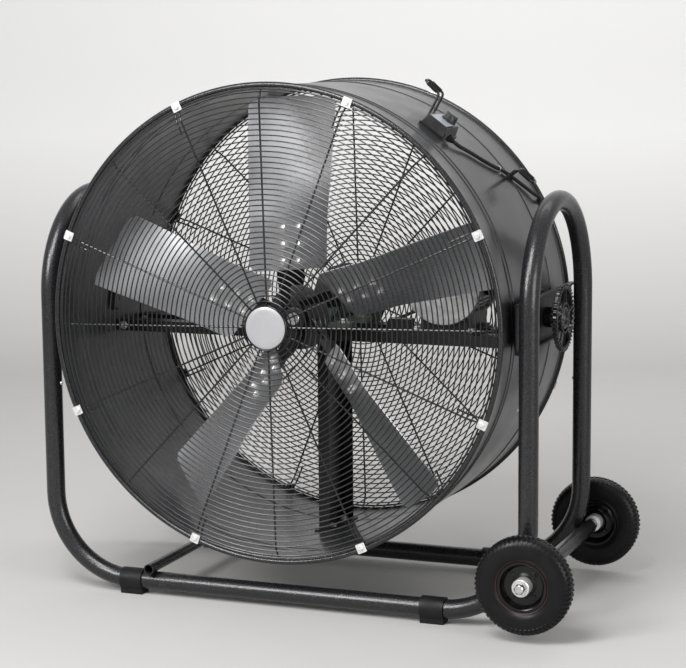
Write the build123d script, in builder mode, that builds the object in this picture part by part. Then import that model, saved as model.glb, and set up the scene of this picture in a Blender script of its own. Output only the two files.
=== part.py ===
"""Mobile drum fan: a drum on a tube frame with two wheels, belt driven, tilting at its sides.

+X runs along the wheel axle's reach to the fan's right seen from the front, the air leaves
towards -Y, +Z is up. The origin lies on the ground under the middle of the whole fan.
"""
from build123d import *
import os
from math import cos, radians, sin, sqrt, tan

# ---- driving dimensions, in millimetres and degrees ----
# tube frame
TUBE_OD = 44.5
TUBE_WALL = 2.0
HALF_SPAN = 592.0
LEG_Y = 232.0
BEND_R = 200.0
SOLE = 11.0
SEAM_Z = 424.0
HOOP_TOP = 943.0
SPIGOT_LENGTH = 180.0
CROSS_TUBE_OD = 25.0
CROSS_TUBE_X = -330.0
CROSS_TUBE_LENGTH = 530.0
COLLAR_X = (-385.0, 372.0)
COLLAR_LENGTH = 56.0
COLLAR_WALL = 4.5
FOOT_WIDTH = 36.0
FRAME_SCREW_R = 4.5
FRAME_SCREW_RISE = 74.0

# wheels
TYRE_R = 110.0
TYRE_WIDTH = 56.0
TYRE_SECTION = ((63.0, 0.86), (80.0, 1.0), (99.0, 0.93), (TYRE_R, 0.55))
RIM_R = 54.0
RIM_WIDTH = 40.0
RIM_WEB = 3.0
RIM_LIP = 1.0
RIM_FLAT_R = 42.0
WHEEL_Y = 315.0
AXLE_TUBE_OD = 34.0
AXLE_TUBE_WALL = 3.0
AXLE_DROP = 25.9
AXLE_TUBE_REACH = 254.0
AXLE_R = 10.0
AXLE_COLLAR_R = 14.0
AXLE_COLLAR_LENGTH = 6.0
HUB_R = 20.0
HUB_LENGTH = 62.0
RIM_BOLT_CIRCLE = 34.0
RIM_BOLT_R = 3.0
NUT_THICKNESS = 9.0
NUT_R = 12.0

# drum
RING_R = 550.0
BEAD_R = 6.25
SHEET = 1.5
DRUM_FRONT = -285.0
DRUM_REAR = 271.0
AXIS_Z = 666.0
FLARE_LENGTH = 70.0
RIB_HEIGHT = 1.5
RIB_WIDTH = 5.0
RIB_PLACES = (0.17, 0.21, 0.75)

# guards
GUARD_PROUD = 16.0
GUARD_FLAT_R = 505.0
GUARD_PITCH = 12.0
GUARD_FIRST_R = 48.0
GUARD_WIRE = 3.2
SPOKE_WIRE = 4.5
SPOKES = 16
SPOKE_INNER_R = 44.0
GUARD_ROLL = 1.5
GUARD_BITE = 0.435
CLIPS = 8
CLIP_PLACE_R = 540.0
CLIP_SIZE = 22.0
CLIP_THICKNESS = 2.0
CLIP_SCREW_R = 4.0
BADGE_R = 48.0
BADGE_RIM = 4.5
BADGE_DEPTH = 8.0
BADGE_PLATE = 2.0
BADGE_PROUD = 1.0

# support inside the drum
BAR_HEIGHT = 27.0
BAR_DEPTH = 45.0
BAR_WALL = 3.0
REAR_BAR_Y = 115.0
BEARING_HEIGHT = 42.0
STRUT_FLANGE = 28.0
STRUT_DEPTH = 160.0
STRUT_FOOT_WIDTH = 52.0
STRUT_FOOT_THICKNESS = 4.0
BAR_BOLT_INSET = 17.0
SUPPORT_BOLT_R = 5.0

# bearings, shaft and rotor
SHAFT_R = 15.0
BEARING_BASE = 165.0
BEARING_WIDTH = 38.0
BEARING_FOOT = 15.0
BEARING_R = 36.0
BEARING_NOSE_R = 24.5
BEARING_NOSE = 3.0
BEARING_BOLT_X = 60.0
BEARING_BOLT_R = 6.0
SHAFT_FRONT = -150.0
SHAFT_REAR = 236.0
HUB_BOSS_R = 30.0
HUB_BOSS_LENGTH = 58.0
SPIDER_Y = -129.0
SPIDER_DISC_Y = -114.0
SPIDER_DISC_R = 76.0
SPIDER_THICKNESS = 5.0
BLADES = 5
BLADE_PHASE = 16.5
BLADE_CHORD = 210.0
BLADE_SHIFT = 9.0
BLADE_SETBACK = 22.8
BLADE_THICKNESS = 2.5
BLADE_ROOT_R = 111.0
BLADE_STRAIGHT_R = 232.0
BLADE_TIP_R = 514.0
BLADE_ROOT_PITCH = 54.4
BLADE_TIP_PITCH = 36.4
ARM_WIDTH = 74.0
ARM_ROOT_WIDTH = 54.0
ARM_START_R = 18.0
ARM_R = 226.0
BLADE_BOLT_RADII = (130.0, 170.0, 210.0)
BLADE_BOLT_ROWS = 42.0
BLADE_BOLT_R = 4.0

# belt drive and motor
BELT_Y = 214.0
BELT_WIDTH = 12.0
BELT_DEPTH = 8.0
DRIVEN_R = 88.0
DRIVER_R = 29.0
PULLEY_WIDTH = 20.0
MOTOR_X = 313.0
MOTOR_Z = 71.0
MOTOR_R = 89.0
MOTOR_BORE_R = 60.0
MOTOR_COVER_R = 94.0
MOTOR_FRONT = 2.0
MOTOR_LENGTH = 178.0
MOTOR_COVER = 20.0
MOTOR_COVER_EDGE = 4.0
MOTOR_SHAFT_R = 9.0
MOTOR_BASE_X = 76.0
MOTOR_BASE_THICKNESS = 6.0
MOTOR_CRADLE_X = 58.0
MOTOR_BOLT_X = 67.0
TENSIONER = (56.0, 26.0, 30.0)
TENSIONER_X = 206.0
TENSION_SCREW_R = 5.0
TERMINAL_BOX = (46.0, 50.0, 50.0)
TERMINAL_BOX_Y = 85.0
TERMINAL_BOX_SINK = 16.0

# tilting joint at each side
PIVOT_Z = 675.0
CHANNEL_X = 560.0
CHANNEL_WALL = 4.0
CHANNEL_HEIGHT = 112.0
CHANNEL_DEPTH = 16.0
TRUNNION_R = 14.0
TRUNNION_LENGTH = 4.5
PIVOT_BOSS_R = 27.0
PIVOT_PLATE = (96.0, 116.0)
PIVOT_PLATE_THICKNESS = 5.0
PIVOT_PLATE_SINK = 30.0
PIVOT_BOSS_SINK = 14.0
STUD_R = 6.0
STUD_DEPTH = 24.0
HANDWHEEL_R = 78.0
HANDWHEEL_RIM = 13.0
HANDWHEEL_DEPTH = 14.0
HANDWHEEL_X = 606.0
HANDWHEEL_HUB_R = 22.0
HANDWHEEL_THREAD = 0.6
HANDWHEEL_SPOKES = 5
HANDWHEEL_LOBES = 30
HANDWHEEL_SPOKE_BITE = 4.0
LOBE_R = 2.6

# switch, hooks and lead
SWITCH_ANGLE = 36.6
SWITCH_Y = -55.0
SWITCH_BASE = (68.0, 100.0)
SWITCH_TOP = (52.0, 84.0)
SWITCH_HEIGHT = 28.0
SWITCH_SINK = 3.0
SWITCH_SKIRT = 6.0
SWITCH_MARGIN = 8.0
SWITCH_PLATE_THICKNESS = 1.0
SWITCH_KNOB_R = 18.0
SWITCH_KNOB_HEIGHT = 18.0
SWITCH_KNOB_SHIFT = (4.0, 18.0)
SWITCH_STEM_R = 4.0
SWITCH_STEM_DEPTH = 10.0
HOOK_WIRE_R = 3.0
HOOK_SPACING = 31.0
HOOK_RISE = 44.0
HOOK_REACH = 48.0
HOOK_LIFT = 14.0
HOOK_BEND = 9.0
HOOK_SINK = 1.0
UPPER_HOOK = (28.8, 97.0)
LOWER_HOOK = (54.3, 85.0)
SLEEVE_R = 5.0
SLEEVE_LENGTH = 30.0
LEAD_R = 4.5
LEAD_HEIGHT = 6.5
GLAND_R = 9.0
GLAND_LENGTH = 20.0
GLAND_Y = -80.0
GROMMET_R = 12.0
GROMMET_LIP = 3.0
GROMMET_ANGLE = 62.5
GROMMET_Y = 240.0
LEAD_START = (41.7, GLAND_Y, LEAD_HEIGHT + 4)
LEAD_ROUTE = (
    (43.4, -66, LEAD_HEIGHT + 2),
    (45.4, -26, LEAD_HEIGHT),
    (48.2, 10, LEAD_HEIGHT),
    (50.6, 52, LEAD_HEIGHT),
    (52.2, 96, LEAD_HEIGHT),
    (54.8, 135, LEAD_HEIGHT),
    (57.4, 172, LEAD_HEIGHT),
    (60.0, 206, LEAD_HEIGHT + 2),
    (61.6, GROMMET_Y - 12, LEAD_HEIGHT + 6),
    (GROMMET_ANGLE, GROMMET_Y, -4),
    (GROMMET_ANGLE + 0.8, GROMMET_Y, -SHEET - 34),
    (GROMMET_ANGLE + 1.8, GROMMET_Y - 16, -SHEET - 74),
)
LEAD_DROP = (
    (4, GROMMET_Y - 44, 98),
    (0, 144, 84),
    (0, TERMINAL_BOX_Y + 14, 62),
    (0, TERMINAL_BOX_Y, 34),
    (0, TERMINAL_BOX_Y, 0.1),
)
LEAD_CORNER_SHARE = 0.45

# clearances
SEAT = 0.1
FIT = 0.05
CLEAR = 0.3

# ---- places worked out from the driving dimensions ----
TUBE_R = TUBE_OD / 2
RAIL_Z = SOLE + TUBE_R
BEND_Z = RAIL_Z + BEND_R
AXLE_TUBE_R = AXLE_TUBE_OD / 2
AXLE_REACH = BEND_R + TUBE_R + AXLE_TUBE_R + SEAT
AXLE_X = HALF_SPAN - BEND_R + AXLE_REACH * cos(radians(AXLE_DROP))
AXLE_Z = BEND_Z - AXLE_REACH * sin(radians(AXLE_DROP))
CENTRE_X = (HALF_SPAN + TUBE_R - AXLE_X - TYRE_R) / 2
SHEET_R = RING_R - BEAD_R - 2.0
INNER_R = SHEET_R - SHEET
DRUM_LENGTH = DRUM_REAR - DRUM_FRONT
BAR_TOP = AXIS_Z - BEARING_HEIGHT
BAR_BOTTOM = BAR_TOP - BAR_HEIGHT
GUARD_OUTER_R = RING_R - 2 * BEAD_R - GUARD_WIRE
BELT_RATIO = DRIVEN_R / DRIVER_R
GUARD_RADII = [
    GUARD_FIRST_R + GUARD_PITCH * step
    for step in range(int((GUARD_OUTER_R - GUARD_FIRST_R) / GUARD_PITCH) + 1)
]

FAN_AXIS = Axis((CENTRE_X, 0, AXIS_Z), (0, 1, 0))
FAN_PROFILE = Plane(origin=(CENTRE_X, 0, AXIS_Z), x_dir=(1, 0, 0), z_dir=(0, 0, 1))


def save(part, name):
    """Label a finished piece and write it to its own file."""
    part.label = name
    export_step(part, "parts/" + name + ".step")


def across(y, x=0.0, z=0.0):
    """A plane square to the fan's axis, at (x, z) from it: it faces the rear, its y is down."""
    return Plane(origin=(CENTRE_X + x, y, AXIS_Z + z), x_dir=(1, 0, 0), z_dir=(0, 1, 0))


def sideways(x, y, z, side=1):
    """A plane square to X at a point, that faces away from the fan's centre."""
    return Plane(origin=(CENTRE_X + side * x, y, z), x_dir=(0, side, 0), z_dir=(side, 0, 0))


def around(angle, y, radius):
    """A point at an angle from the top of the drum, clockwise from the front."""
    turn = radians(angle)
    return Vector(CENTRE_X + radius * sin(turn), y, AXIS_Z + radius * cos(turn))


def on_drum(angle, y, radius=None):
    """A plane tangent to the drum: x runs clockwise round it, y runs to the rear."""
    turn = radians(angle)
    place = around(angle, y, SHEET_R if radius is None else radius)
    return Plane(origin=place, x_dir=(cos(turn), 0, -sin(turn)), z_dir=(sin(turn), 0, cos(turn)))


def bent_tube(points, radius, outside, wall):
    """A round tube along straight runs joined by bends of one radius."""
    with BuildPart() as tube:
        with BuildLine() as path:
            FilletPolyline(*points, radius=radius)
        with BuildSketch(Plane(origin=path.line @ 0, z_dir=path.line % 0)):
            Circle(outside / 2)
            Circle(outside / 2 - wall, mode=Mode.SUBTRACT)
        sweep(path=path.line)
    return tube.part


def bent_bar(points, radius, outside):
    """A solid round bar along straight runs joined by bends of one radius."""
    with BuildPart() as bar:
        with BuildLine() as path:
            FilletPolyline(*points, radius=radius)
        with BuildSketch(Plane(origin=path.line @ 0, z_dir=path.line % 0)):
            Circle(outside / 2)
        sweep(path=path.line)
    return bar.part


def drum_solid(radius):
    """A solid cylinder about the fan's axis, longer than the drum."""
    with BuildPart() as solid:
        with BuildSketch(across(2 * DRUM_FRONT)):
            Circle(radius)
        extrude(amount=-4 * DRUM_FRONT)
    return solid.part


# ---------------------------------------------------------------- frame
def rail_points(y):
    """Corners of one U of the frame."""
    left = CENTRE_X - HALF_SPAN
    right = CENTRE_X + HALF_SPAN
    return [(left, y, SEAM_Z), (left, y, RAIL_Z), (right, y, RAIL_Z), (right, y, SEAM_Z)]


def lower_frame(name, y):
    """One U of the frame: a ground rail whose bent ends stand up as legs."""
    save(bent_tube(rail_points(y), BEND_R, TUBE_OD, TUBE_WALL), name)


def arch(side, outside, inside=0.0):
    """A round bar or tube along one hoop's path, from the front leg to the rear leg."""
    x = CENTRE_X + side * HALF_SPAN
    arch_z = HOOP_TOP - LEG_Y
    with BuildPart() as tube:
        with BuildLine() as path:
            Line((x, -LEG_Y, SEAM_Z + SEAT), (x, -LEG_Y, arch_z))
            ThreePointArc((x, -LEG_Y, arch_z), (x, 0, HOOP_TOP), (x, LEG_Y, arch_z))
            Line((x, LEG_Y, arch_z), (x, LEG_Y, SEAM_Z + SEAT))
        with BuildSketch(Plane(origin=(x, -LEG_Y, SEAM_Z + SEAT), z_dir=(0, 0, 1))):
            Circle(outside)
            if inside:
                Circle(inside, mode=Mode.SUBTRACT)
        sweep(path=path.line)
    return tube.part


def hoop(name, side):
    """The arch over one side of the fan."""
    save(arch(side, TUBE_R, TUBE_R - TUBE_WALL), name)


def leg_places():
    """The four legs' centres in plan."""
    return [
        (CENTRE_X + side * HALF_SPAN, end * LEG_Y) for side in (-1, 1) for end in (-1, 1)
    ]


def tube_spigots():
    """Short sleeves inside the legs, which join the hoops to the lower frames."""
    outside = TUBE_R - TUBE_WALL - SEAT
    with BuildPart() as spigots:
        with BuildSketch(Plane.XY.offset(SEAM_Z - SPIGOT_LENGTH / 2)):
            with Locations(*leg_places()):
                Circle(outside)
                Circle(outside - TUBE_WALL, mode=Mode.SUBTRACT)
        extrude(amount=SPIGOT_LENGTH)
    save(spigots.part, "tube_spigots")


def frame_rivets():
    """A domed rivet in each leg, on the side that faces the fan, above the joint."""
    with BuildPart() as rivets:
        for x, y in leg_places():
            inward = 1 if x < CENTRE_X else -1
            seat = (x + inward * (TUBE_R - SEAT), y, SEAM_Z + FRAME_SCREW_RISE)
            with BuildSketch(Plane(origin=seat, z_dir=(inward, 0, 0))):
                Circle(FRAME_SCREW_R)
            extrude(amount=FRAME_SCREW_R / 2, taper=20)
    with BuildPart() as legs:
        with BuildSketch(Plane.XY.offset(SEAM_Z)):
            with Locations(*leg_places()):
                Circle(TUBE_R)
        extrude(amount=SPIGOT_LENGTH)
    save(rivets.part - legs.part, "frame_rivets")


def side_channels():
    """Folded channels between the legs of each hoop, which carry the drum's trunnions."""
    with BuildPart() as channels:
        for side in (-1, 1):
            with BuildSketch(sideways(CHANNEL_X, 0, PIVOT_Z, side)):
                Rectangle(2 * LEG_Y, CHANNEL_HEIGHT)
            extrude(amount=CHANNEL_DEPTH)
            with BuildSketch(sideways(CHANNEL_X + CHANNEL_WALL, 0, PIVOT_Z, side)):
                Rectangle(2 * LEG_Y + TUBE_OD, CHANNEL_HEIGHT - 2 * CHANNEL_WALL)
            extrude(amount=CHANNEL_DEPTH, mode=Mode.SUBTRACT)
            with BuildSketch(sideways(CHANNEL_X, 0, PIVOT_Z, side)):
                Circle(TRUNNION_R + FIT)
            extrude(amount=CHANNEL_WALL, mode=Mode.SUBTRACT)
        for side in (-1, 1):
            add(arch(side, TUBE_R + SEAT), mode=Mode.SUBTRACT)
    save(channels.part, "side_channels")


def cross_tube():
    """An open-ended tube lying across the two ground rails."""
    x = CENTRE_X + CROSS_TUBE_X
    z = RAIL_Z + TUBE_R + CROSS_TUBE_OD / 2 + SEAT
    ends = Plane(origin=(x, -CROSS_TUBE_LENGTH / 2, z), x_dir=(1, 0, 0), z_dir=(0, 1, 0))
    with BuildPart() as tube:
        with BuildSketch(ends):
            Circle(CROSS_TUBE_OD / 2)
            Circle(CROSS_TUBE_OD / 2 - TUBE_WALL, mode=Mode.SUBTRACT)
        extrude(amount=CROSS_TUBE_LENGTH)
    save(tube.part, "cross_tube")


def rail_collars():
    """Rubber sleeves round the ground rails, with flat soles that stand on the ground."""
    with BuildPart() as collars:
        for x in COLLAR_X:
            for end in (-1, 1):
                start = CENTRE_X + x - COLLAR_LENGTH / 2
                plane = Plane(origin=(start, end * LEG_Y, RAIL_Z), x_dir=(0, 1, 0), z_dir=(1, 0, 0))
                with BuildSketch(plane):
                    Circle(TUBE_R + COLLAR_WALL)
                    with Locations((0, -RAIL_Z / 2)):
                        Rectangle(FOOT_WIDTH, RAIL_Z)
                    with Locations((0, -RAIL_Z - TUBE_R)):
                        Rectangle(TUBE_OD * 2, TUBE_OD, mode=Mode.SUBTRACT)
                extrude(amount=COLLAR_LENGTH)
        for end in (-1, 1):
            rail = bent_bar(rail_points(end * LEG_Y), BEND_R, TUBE_OD + CLEAR)
            add(rail, mode=Mode.SUBTRACT)
    save(collars.part, "rail_collars")


# ---------------------------------------------------------------- wheels
def axle_plane(y):
    """A plane square to the wheels' axle, that faces the rear."""
    return Plane(origin=(CENTRE_X + AXLE_X, y, AXLE_Z), x_dir=(1, 0, 0), z_dir=(0, 1, 0))


def axle_tube():
    """The tube welded across the outside of the frame's two right-hand bends."""
    with BuildPart() as tube:
        with BuildSketch(axle_plane(-AXLE_TUBE_REACH)):
            Circle(AXLE_TUBE_R)
            Circle(AXLE_TUBE_R - AXLE_TUBE_WALL, mode=Mode.SUBTRACT)
        extrude(amount=2 * AXLE_TUBE_REACH)
        for y in (-AXLE_TUBE_REACH, AXLE_TUBE_REACH - AXLE_TUBE_WALL):
            with BuildSketch(axle_plane(y)):
                Circle(AXLE_TUBE_R)
                Circle(AXLE_R + SEAT, mode=Mode.SUBTRACT)
            extrude(amount=AXLE_TUBE_WALL)
    save(tube.part, "axle_tube")


def axle_rod():
    """The solid axle through the tube and both hubs, with a collar behind each hub."""
    half = WHEEL_Y + HUB_LENGTH / 2 + NUT_THICKNESS + CLEAR + AXLE_TUBE_WALL
    collar = WHEEL_Y - HUB_LENGTH / 2 - CLEAR
    with BuildPart() as rod:
        with BuildSketch(axle_plane(-half)):
            Circle(AXLE_R)
        extrude(amount=2 * half)
        chamfer(rod.edges().filter_by(GeomType.CIRCLE), length=AXLE_R / 6)
        for end in (-1, 1):
            with BuildSketch(axle_plane(end * collar)):
                Circle(AXLE_COLLAR_R)
            extrude(amount=-end * AXLE_COLLAR_LENGTH)
    save(rod.part, "axle_rod")


def axle_nuts():
    """The nuts that keep the wheels on the axle."""
    with BuildPart() as nuts:
        for end in (-1, 1):
            start = end * (WHEEL_Y + HUB_LENGTH / 2 + CLEAR)
            with BuildSketch(axle_plane(start)):
                RegularPolygon(NUT_R, 6)
                Circle(AXLE_R + SEAT / 2, mode=Mode.SUBTRACT)
            extrude(amount=end * NUT_THICKNESS)
    save(nuts.part, "axle_nuts")


def wheel(place, y):
    """One pneumatic wheel: tyre, two-part pressed rim, its bolts and the hub."""
    profile = Plane(origin=(CENTRE_X + AXLE_X, y, AXLE_Z), x_dir=(1, 0, 0), z_dir=(0, 0, 1))
    spin = Axis((CENTRE_X + AXLE_X, y, AXLE_Z), (0, 1, 0))
    half = TYRE_WIDTH / 2
    lip = RIM_WIDTH / 2
    near = [(radius, -half * share) for radius, share in TYRE_SECTION]
    far = [(radius, half * share) for radius, share in reversed(TYRE_SECTION)]
    with BuildPart() as tyre:
        with BuildSketch(profile):
            with BuildLine():
                Polyline(
                    (RIM_R + SEAT, -lip + 2 * RIM_LIP + CLEAR),
                    (RIM_R + RIM_WEB + CLEAR, -lip + RIM_LIP + CLEAR),
                    *near,
                    *far,
                    (RIM_R + RIM_WEB + CLEAR, lip - RIM_LIP - CLEAR),
                    (RIM_R + SEAT, lip - 2 * RIM_LIP - CLEAR),
                    close=True,
                )
            make_face()
        revolve(axis=spin)
    save(tyre.part, "tyre_" + place)

    with BuildPart() as rim:
        with BuildSketch(profile):
            with BuildLine():
                Polyline(
                    (HUB_R + SEAT, -RIM_WEB),
                    (RIM_FLAT_R, -RIM_WEB),
                    (RIM_R - RIM_WEB, -lip + RIM_WEB),
                    (RIM_R - RIM_WEB, -lip - RIM_LIP),
                    (RIM_R + RIM_WEB, -lip - RIM_LIP),
                    (RIM_R + RIM_WEB, -lip + RIM_LIP),
                    (RIM_R, -lip + 2 * RIM_LIP),
                    (RIM_R, lip - 2 * RIM_LIP),
                    (RIM_R + RIM_WEB, lip - RIM_LIP),
                    (RIM_R + RIM_WEB, lip + RIM_LIP),
                    (RIM_R - RIM_WEB, lip + RIM_LIP),
                    (RIM_R - RIM_WEB, lip - RIM_WEB),
                    (RIM_FLAT_R, RIM_WEB),
                    (HUB_R + SEAT, RIM_WEB),
                    close=True,
                )
            make_face()
        revolve(axis=spin)
        with BuildSketch(axle_plane(y - RIM_WIDTH)):
            with PolarLocations(RIM_BOLT_CIRCLE, 4, start_angle=45):
                Circle(RIM_BOLT_R + SEAT)
        extrude(amount=2 * RIM_WIDTH, mode=Mode.SUBTRACT)
    save(rim.part, "rim_" + place)

    with BuildPart() as bolts:
        with BuildSketch(axle_plane(y - RIM_WEB)):
            with PolarLocations(RIM_BOLT_CIRCLE, 4, start_angle=45):
                Circle(RIM_BOLT_R)
        extrude(amount=2 * RIM_WEB)
        for end in (-1, 1):
            with BuildSketch(axle_plane(y + end * RIM_WEB)):
                with PolarLocations(RIM_BOLT_CIRCLE, 4, start_angle=45):
                    RegularPolygon(1.9 * RIM_BOLT_R, 6)
            extrude(amount=end * 1.4 * RIM_BOLT_R)
    save(bolts.part, "rim_bolts_" + place)

    with BuildPart() as hub:
        with BuildSketch(axle_plane(y - HUB_LENGTH / 2)):
            Circle(HUB_R)
        extrude(amount=HUB_LENGTH)
        with BuildSketch(axle_plane(y - HUB_LENGTH / 2)):
            Circle(AXLE_R + FIT)
        extrude(amount=HUB_LENGTH, mode=Mode.SUBTRACT)
    save(hub.part, "hub_" + place)


# ---------------------------------------------------------------- drum
def bar_ends():
    """The four bar ends as (side, y of the bar's front face)."""
    return [(side, y) for side in (-1, 1) for y in (0.0, REAR_BAR_Y)]


def strut_bolt_places():
    """Centres of the two bolts in the strut's foot, from the fan's centre plane."""
    x = BAR_WALL + (STRUT_FLANGE - BAR_WALL) / 2
    return [(x, STRUT_DEPTH * share) for share in (0.3, 0.8)]


def drum_shell():
    """The rolled drum: a thin sheet with stiffening ribs, a flared rear and rolled rims."""
    outer = [(RING_R - BEAD_R, DRUM_FRONT), (SHEET_R, DRUM_FRONT + 2 * BEAD_R)]
    for share in RIB_PLACES:
        y = DRUM_FRONT + share * DRUM_LENGTH
        outer += [
            (SHEET_R, y - RIB_WIDTH),
            (SHEET_R + RIB_HEIGHT, y - RIB_WIDTH / 4),
            (SHEET_R + RIB_HEIGHT, y + RIB_WIDTH / 4),
            (SHEET_R, y + RIB_WIDTH),
        ]
    outer += [(SHEET_R, DRUM_REAR - FLARE_LENGTH), (RING_R - BEAD_R, DRUM_REAR)]
    inner = [(r - SHEET, y) for r, y in reversed(outer)]
    with BuildPart() as shell:
        with BuildSketch(FAN_PROFILE):
            with BuildLine():
                Polyline(*outer, *inner, close=True)
            make_face()
            with Locations((RING_R - BEAD_R, DRUM_FRONT), (RING_R - BEAD_R, DRUM_REAR)):
                Circle(BEAD_R)
        revolve(axis=FAN_AXIS)
        with BuildSketch(Plane.XY.offset(AXIS_Z - RING_R)):
            with Locations(*[(CENTRE_X + x, y) for x, y in strut_bolt_places()]):
                Circle(SUPPORT_BOLT_R + SEAT)
        extrude(amount=RING_R / 2, mode=Mode.SUBTRACT)
        with BuildSketch(sideways(-RING_R, 0, PIVOT_Z)):
            Circle(PIVOT_BOSS_R + SEAT)
        extrude(amount=2 * RING_R, mode=Mode.SUBTRACT)
        with BuildSketch(on_drum(GROMMET_ANGLE, GROMMET_Y, INNER_R - GROMMET_R)):
            Circle(GROMMET_R + SEAT)
        extrude(amount=3 * GROMMET_R, mode=Mode.SUBTRACT)
    save(shell.part, "drum_shell")


def guard(name, rim_y, side):
    """A welded wire guard: rings on radial wires, flat in front, bent back to the rim."""
    flat_y = rim_y + side * GUARD_PROUD
    edge_y = rim_y + side * GUARD_WIRE / 2
    slope = (edge_y - flat_y) / (GUARD_OUTER_R - GUARD_FLAT_R)
    inward = -side * (GUARD_WIRE + SPOKE_WIRE) * GUARD_BITE

    def height(radius):
        return flat_y + max(0.0, radius - GUARD_FLAT_R) * slope

    with BuildPart() as wires:
        with BuildSketch(FAN_PROFILE):
            with Locations(*[(radius, height(radius)) for radius in GUARD_RADII]):
                Rectangle(GUARD_WIRE, GUARD_WIRE)
            with Locations((GUARD_OUTER_R, edge_y)):
                Rectangle(SPOKE_WIRE, SPOKE_WIRE)
        revolve(axis=FAN_AXIS)
        with BuildSketch(FAN_PROFILE):
            with BuildLine():
                outer = [
                    (SPOKE_INNER_R, flat_y),
                    (GUARD_FLAT_R, flat_y),
                    (GUARD_OUTER_R, edge_y),
                ]
                front = [(r, y + inward + SPOKE_WIRE / 2) for r, y in outer]
                back = [(r, y + inward - SPOKE_WIRE / 2) for r, y in reversed(outer)]
                Polyline(*front, *back, close=True)
            make_face()
        bar = extrude(amount=SPOKE_WIRE / 2, both=True, mode=Mode.PRIVATE)
        for step in range(SPOKES):
            add(bar.rotate(FAN_AXIS, step * 360 / SPOKES + GUARD_ROLL))
    save(wires.part, name)


def clip_angles():
    """Angles of the guard clips, in degrees from +X towards +Z."""
    return [(index + 0.5) * 360 / CLIPS + GUARD_ROLL for index in range(CLIPS)]


def guard_clips():
    """Square spring plates that hold both guards on the rolled rims, and their screws."""
    radius = CLIP_PLACE_R
    with BuildPart() as clips:
        for rim_y, side in ((DRUM_FRONT, -1), (DRUM_REAR, 1)):
            for angle in clip_angles():
                turn = radians(angle)
                seat = rim_y + side * (BEAD_R + SEAT)
                centre = across(seat, radius * cos(turn), radius * sin(turn))
                with BuildSketch(centre):
                    Rectangle(CLIP_SIZE, CLIP_SIZE, rotation=-angle)
                extrude(amount=side * CLIP_THICKNESS)
    save(clips.part, "guard_clips")
    with BuildPart() as screws:
        for rim_y, side in ((DRUM_FRONT, -1), (DRUM_REAR, 1)):
            for angle in clip_angles():
                turn = radians(angle)
                seat = rim_y + side * (BEAD_R + SEAT + CLIP_THICKNESS)
                centre = across(seat, radius * cos(turn), radius * sin(turn))
                with BuildSketch(centre):
                    Circle(CLIP_SCREW_R)
                extrude(amount=side * CLIP_SCREW_R / 2)
    save(screws.part, "clip_screws")


def badge():
    """The blank disc in the middle of the front guard, in its dark holder."""
    back = DRUM_FRONT - GUARD_PROUD - GUARD_WIRE / 2 - SEAT
    with BuildPart() as holder:
        with BuildSketch(across(back)):
            Circle(BADGE_R + BADGE_RIM)
        extrude(amount=-BADGE_DEPTH)
        with BuildSketch(across(back - BADGE_DEPTH)):
            Circle(BADGE_R + SEAT)
        extrude(amount=BADGE_PLATE, mode=Mode.SUBTRACT)
    save(holder.part, "badge_holder")
    with BuildPart() as plate:
        with BuildSketch(across(back - BADGE_DEPTH + BADGE_PLATE)):
            Circle(BADGE_R)
        extrude(amount=-BADGE_PLATE - BADGE_PROUD)
        rim = plate.edges().filter_by(GeomType.CIRCLE).sort_by(Axis.Y)[0]
        fillet(rim, radius=BADGE_PROUD)
    save(plate.part, "badge_plate")


# ---------------------------------------------------------------- support
def bar_holes(middle, half):
    """Places of the bolt holes in both bars' tops, on each side of a middle line."""
    x = CENTRE_X + middle
    return [(x + step, y + BAR_DEPTH / 2) for step in (-half, half) for y in (0.0, REAR_BAR_Y)]


def crossbars():
    """Two channels across the drum: webs at the front, open towards the rear."""
    section = Plane(origin=(CENTRE_X - RING_R, 0, 0), x_dir=(0, 1, 0), z_dir=(1, 0, 0))
    middle_z = BAR_TOP - BAR_HEIGHT / 2
    with BuildPart() as bars:
        for y in (0.0, REAR_BAR_Y):
            with BuildSketch(section):
                with Locations((y + BAR_DEPTH / 2, middle_z)):
                    Rectangle(BAR_DEPTH, BAR_HEIGHT)
                with Locations((y + BAR_DEPTH / 2 + BAR_WALL, middle_z)):
                    Rectangle(BAR_DEPTH, BAR_HEIGHT - 2 * BAR_WALL, mode=Mode.SUBTRACT)
            extrude(amount=2 * RING_R)
        add(drum_solid(INNER_R - SEAT), mode=Mode.INTERSECT)
        for side, y in bar_ends():
            with BuildSketch(across(y, side * bar_bolt_x(), middle_z - AXIS_Z)):
                Circle(SUPPORT_BOLT_R + SEAT)
            extrude(amount=BAR_WALL, mode=Mode.SUBTRACT)
        with BuildSketch(Plane.XY.offset(BAR_TOP - BAR_WALL)):
            with Locations(*bar_holes(0.0, BEARING_BOLT_X)):
                Circle(BEARING_BOLT_R + SEAT)
            with Locations(*bar_holes(MOTOR_X, MOTOR_BOLT_X)):
                Circle(SUPPORT_BOLT_R + SEAT)
        extrude(amount=BAR_WALL, mode=Mode.SUBTRACT)
    save(bars.part, "crossbars")


def bar_bolt_x():
    """Distance of the bar ends' bolts from the fan's centre plane."""
    low = AXIS_Z - BAR_BOTTOM
    return sqrt(INNER_R**2 - low**2) - BAR_BOLT_INSET


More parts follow.
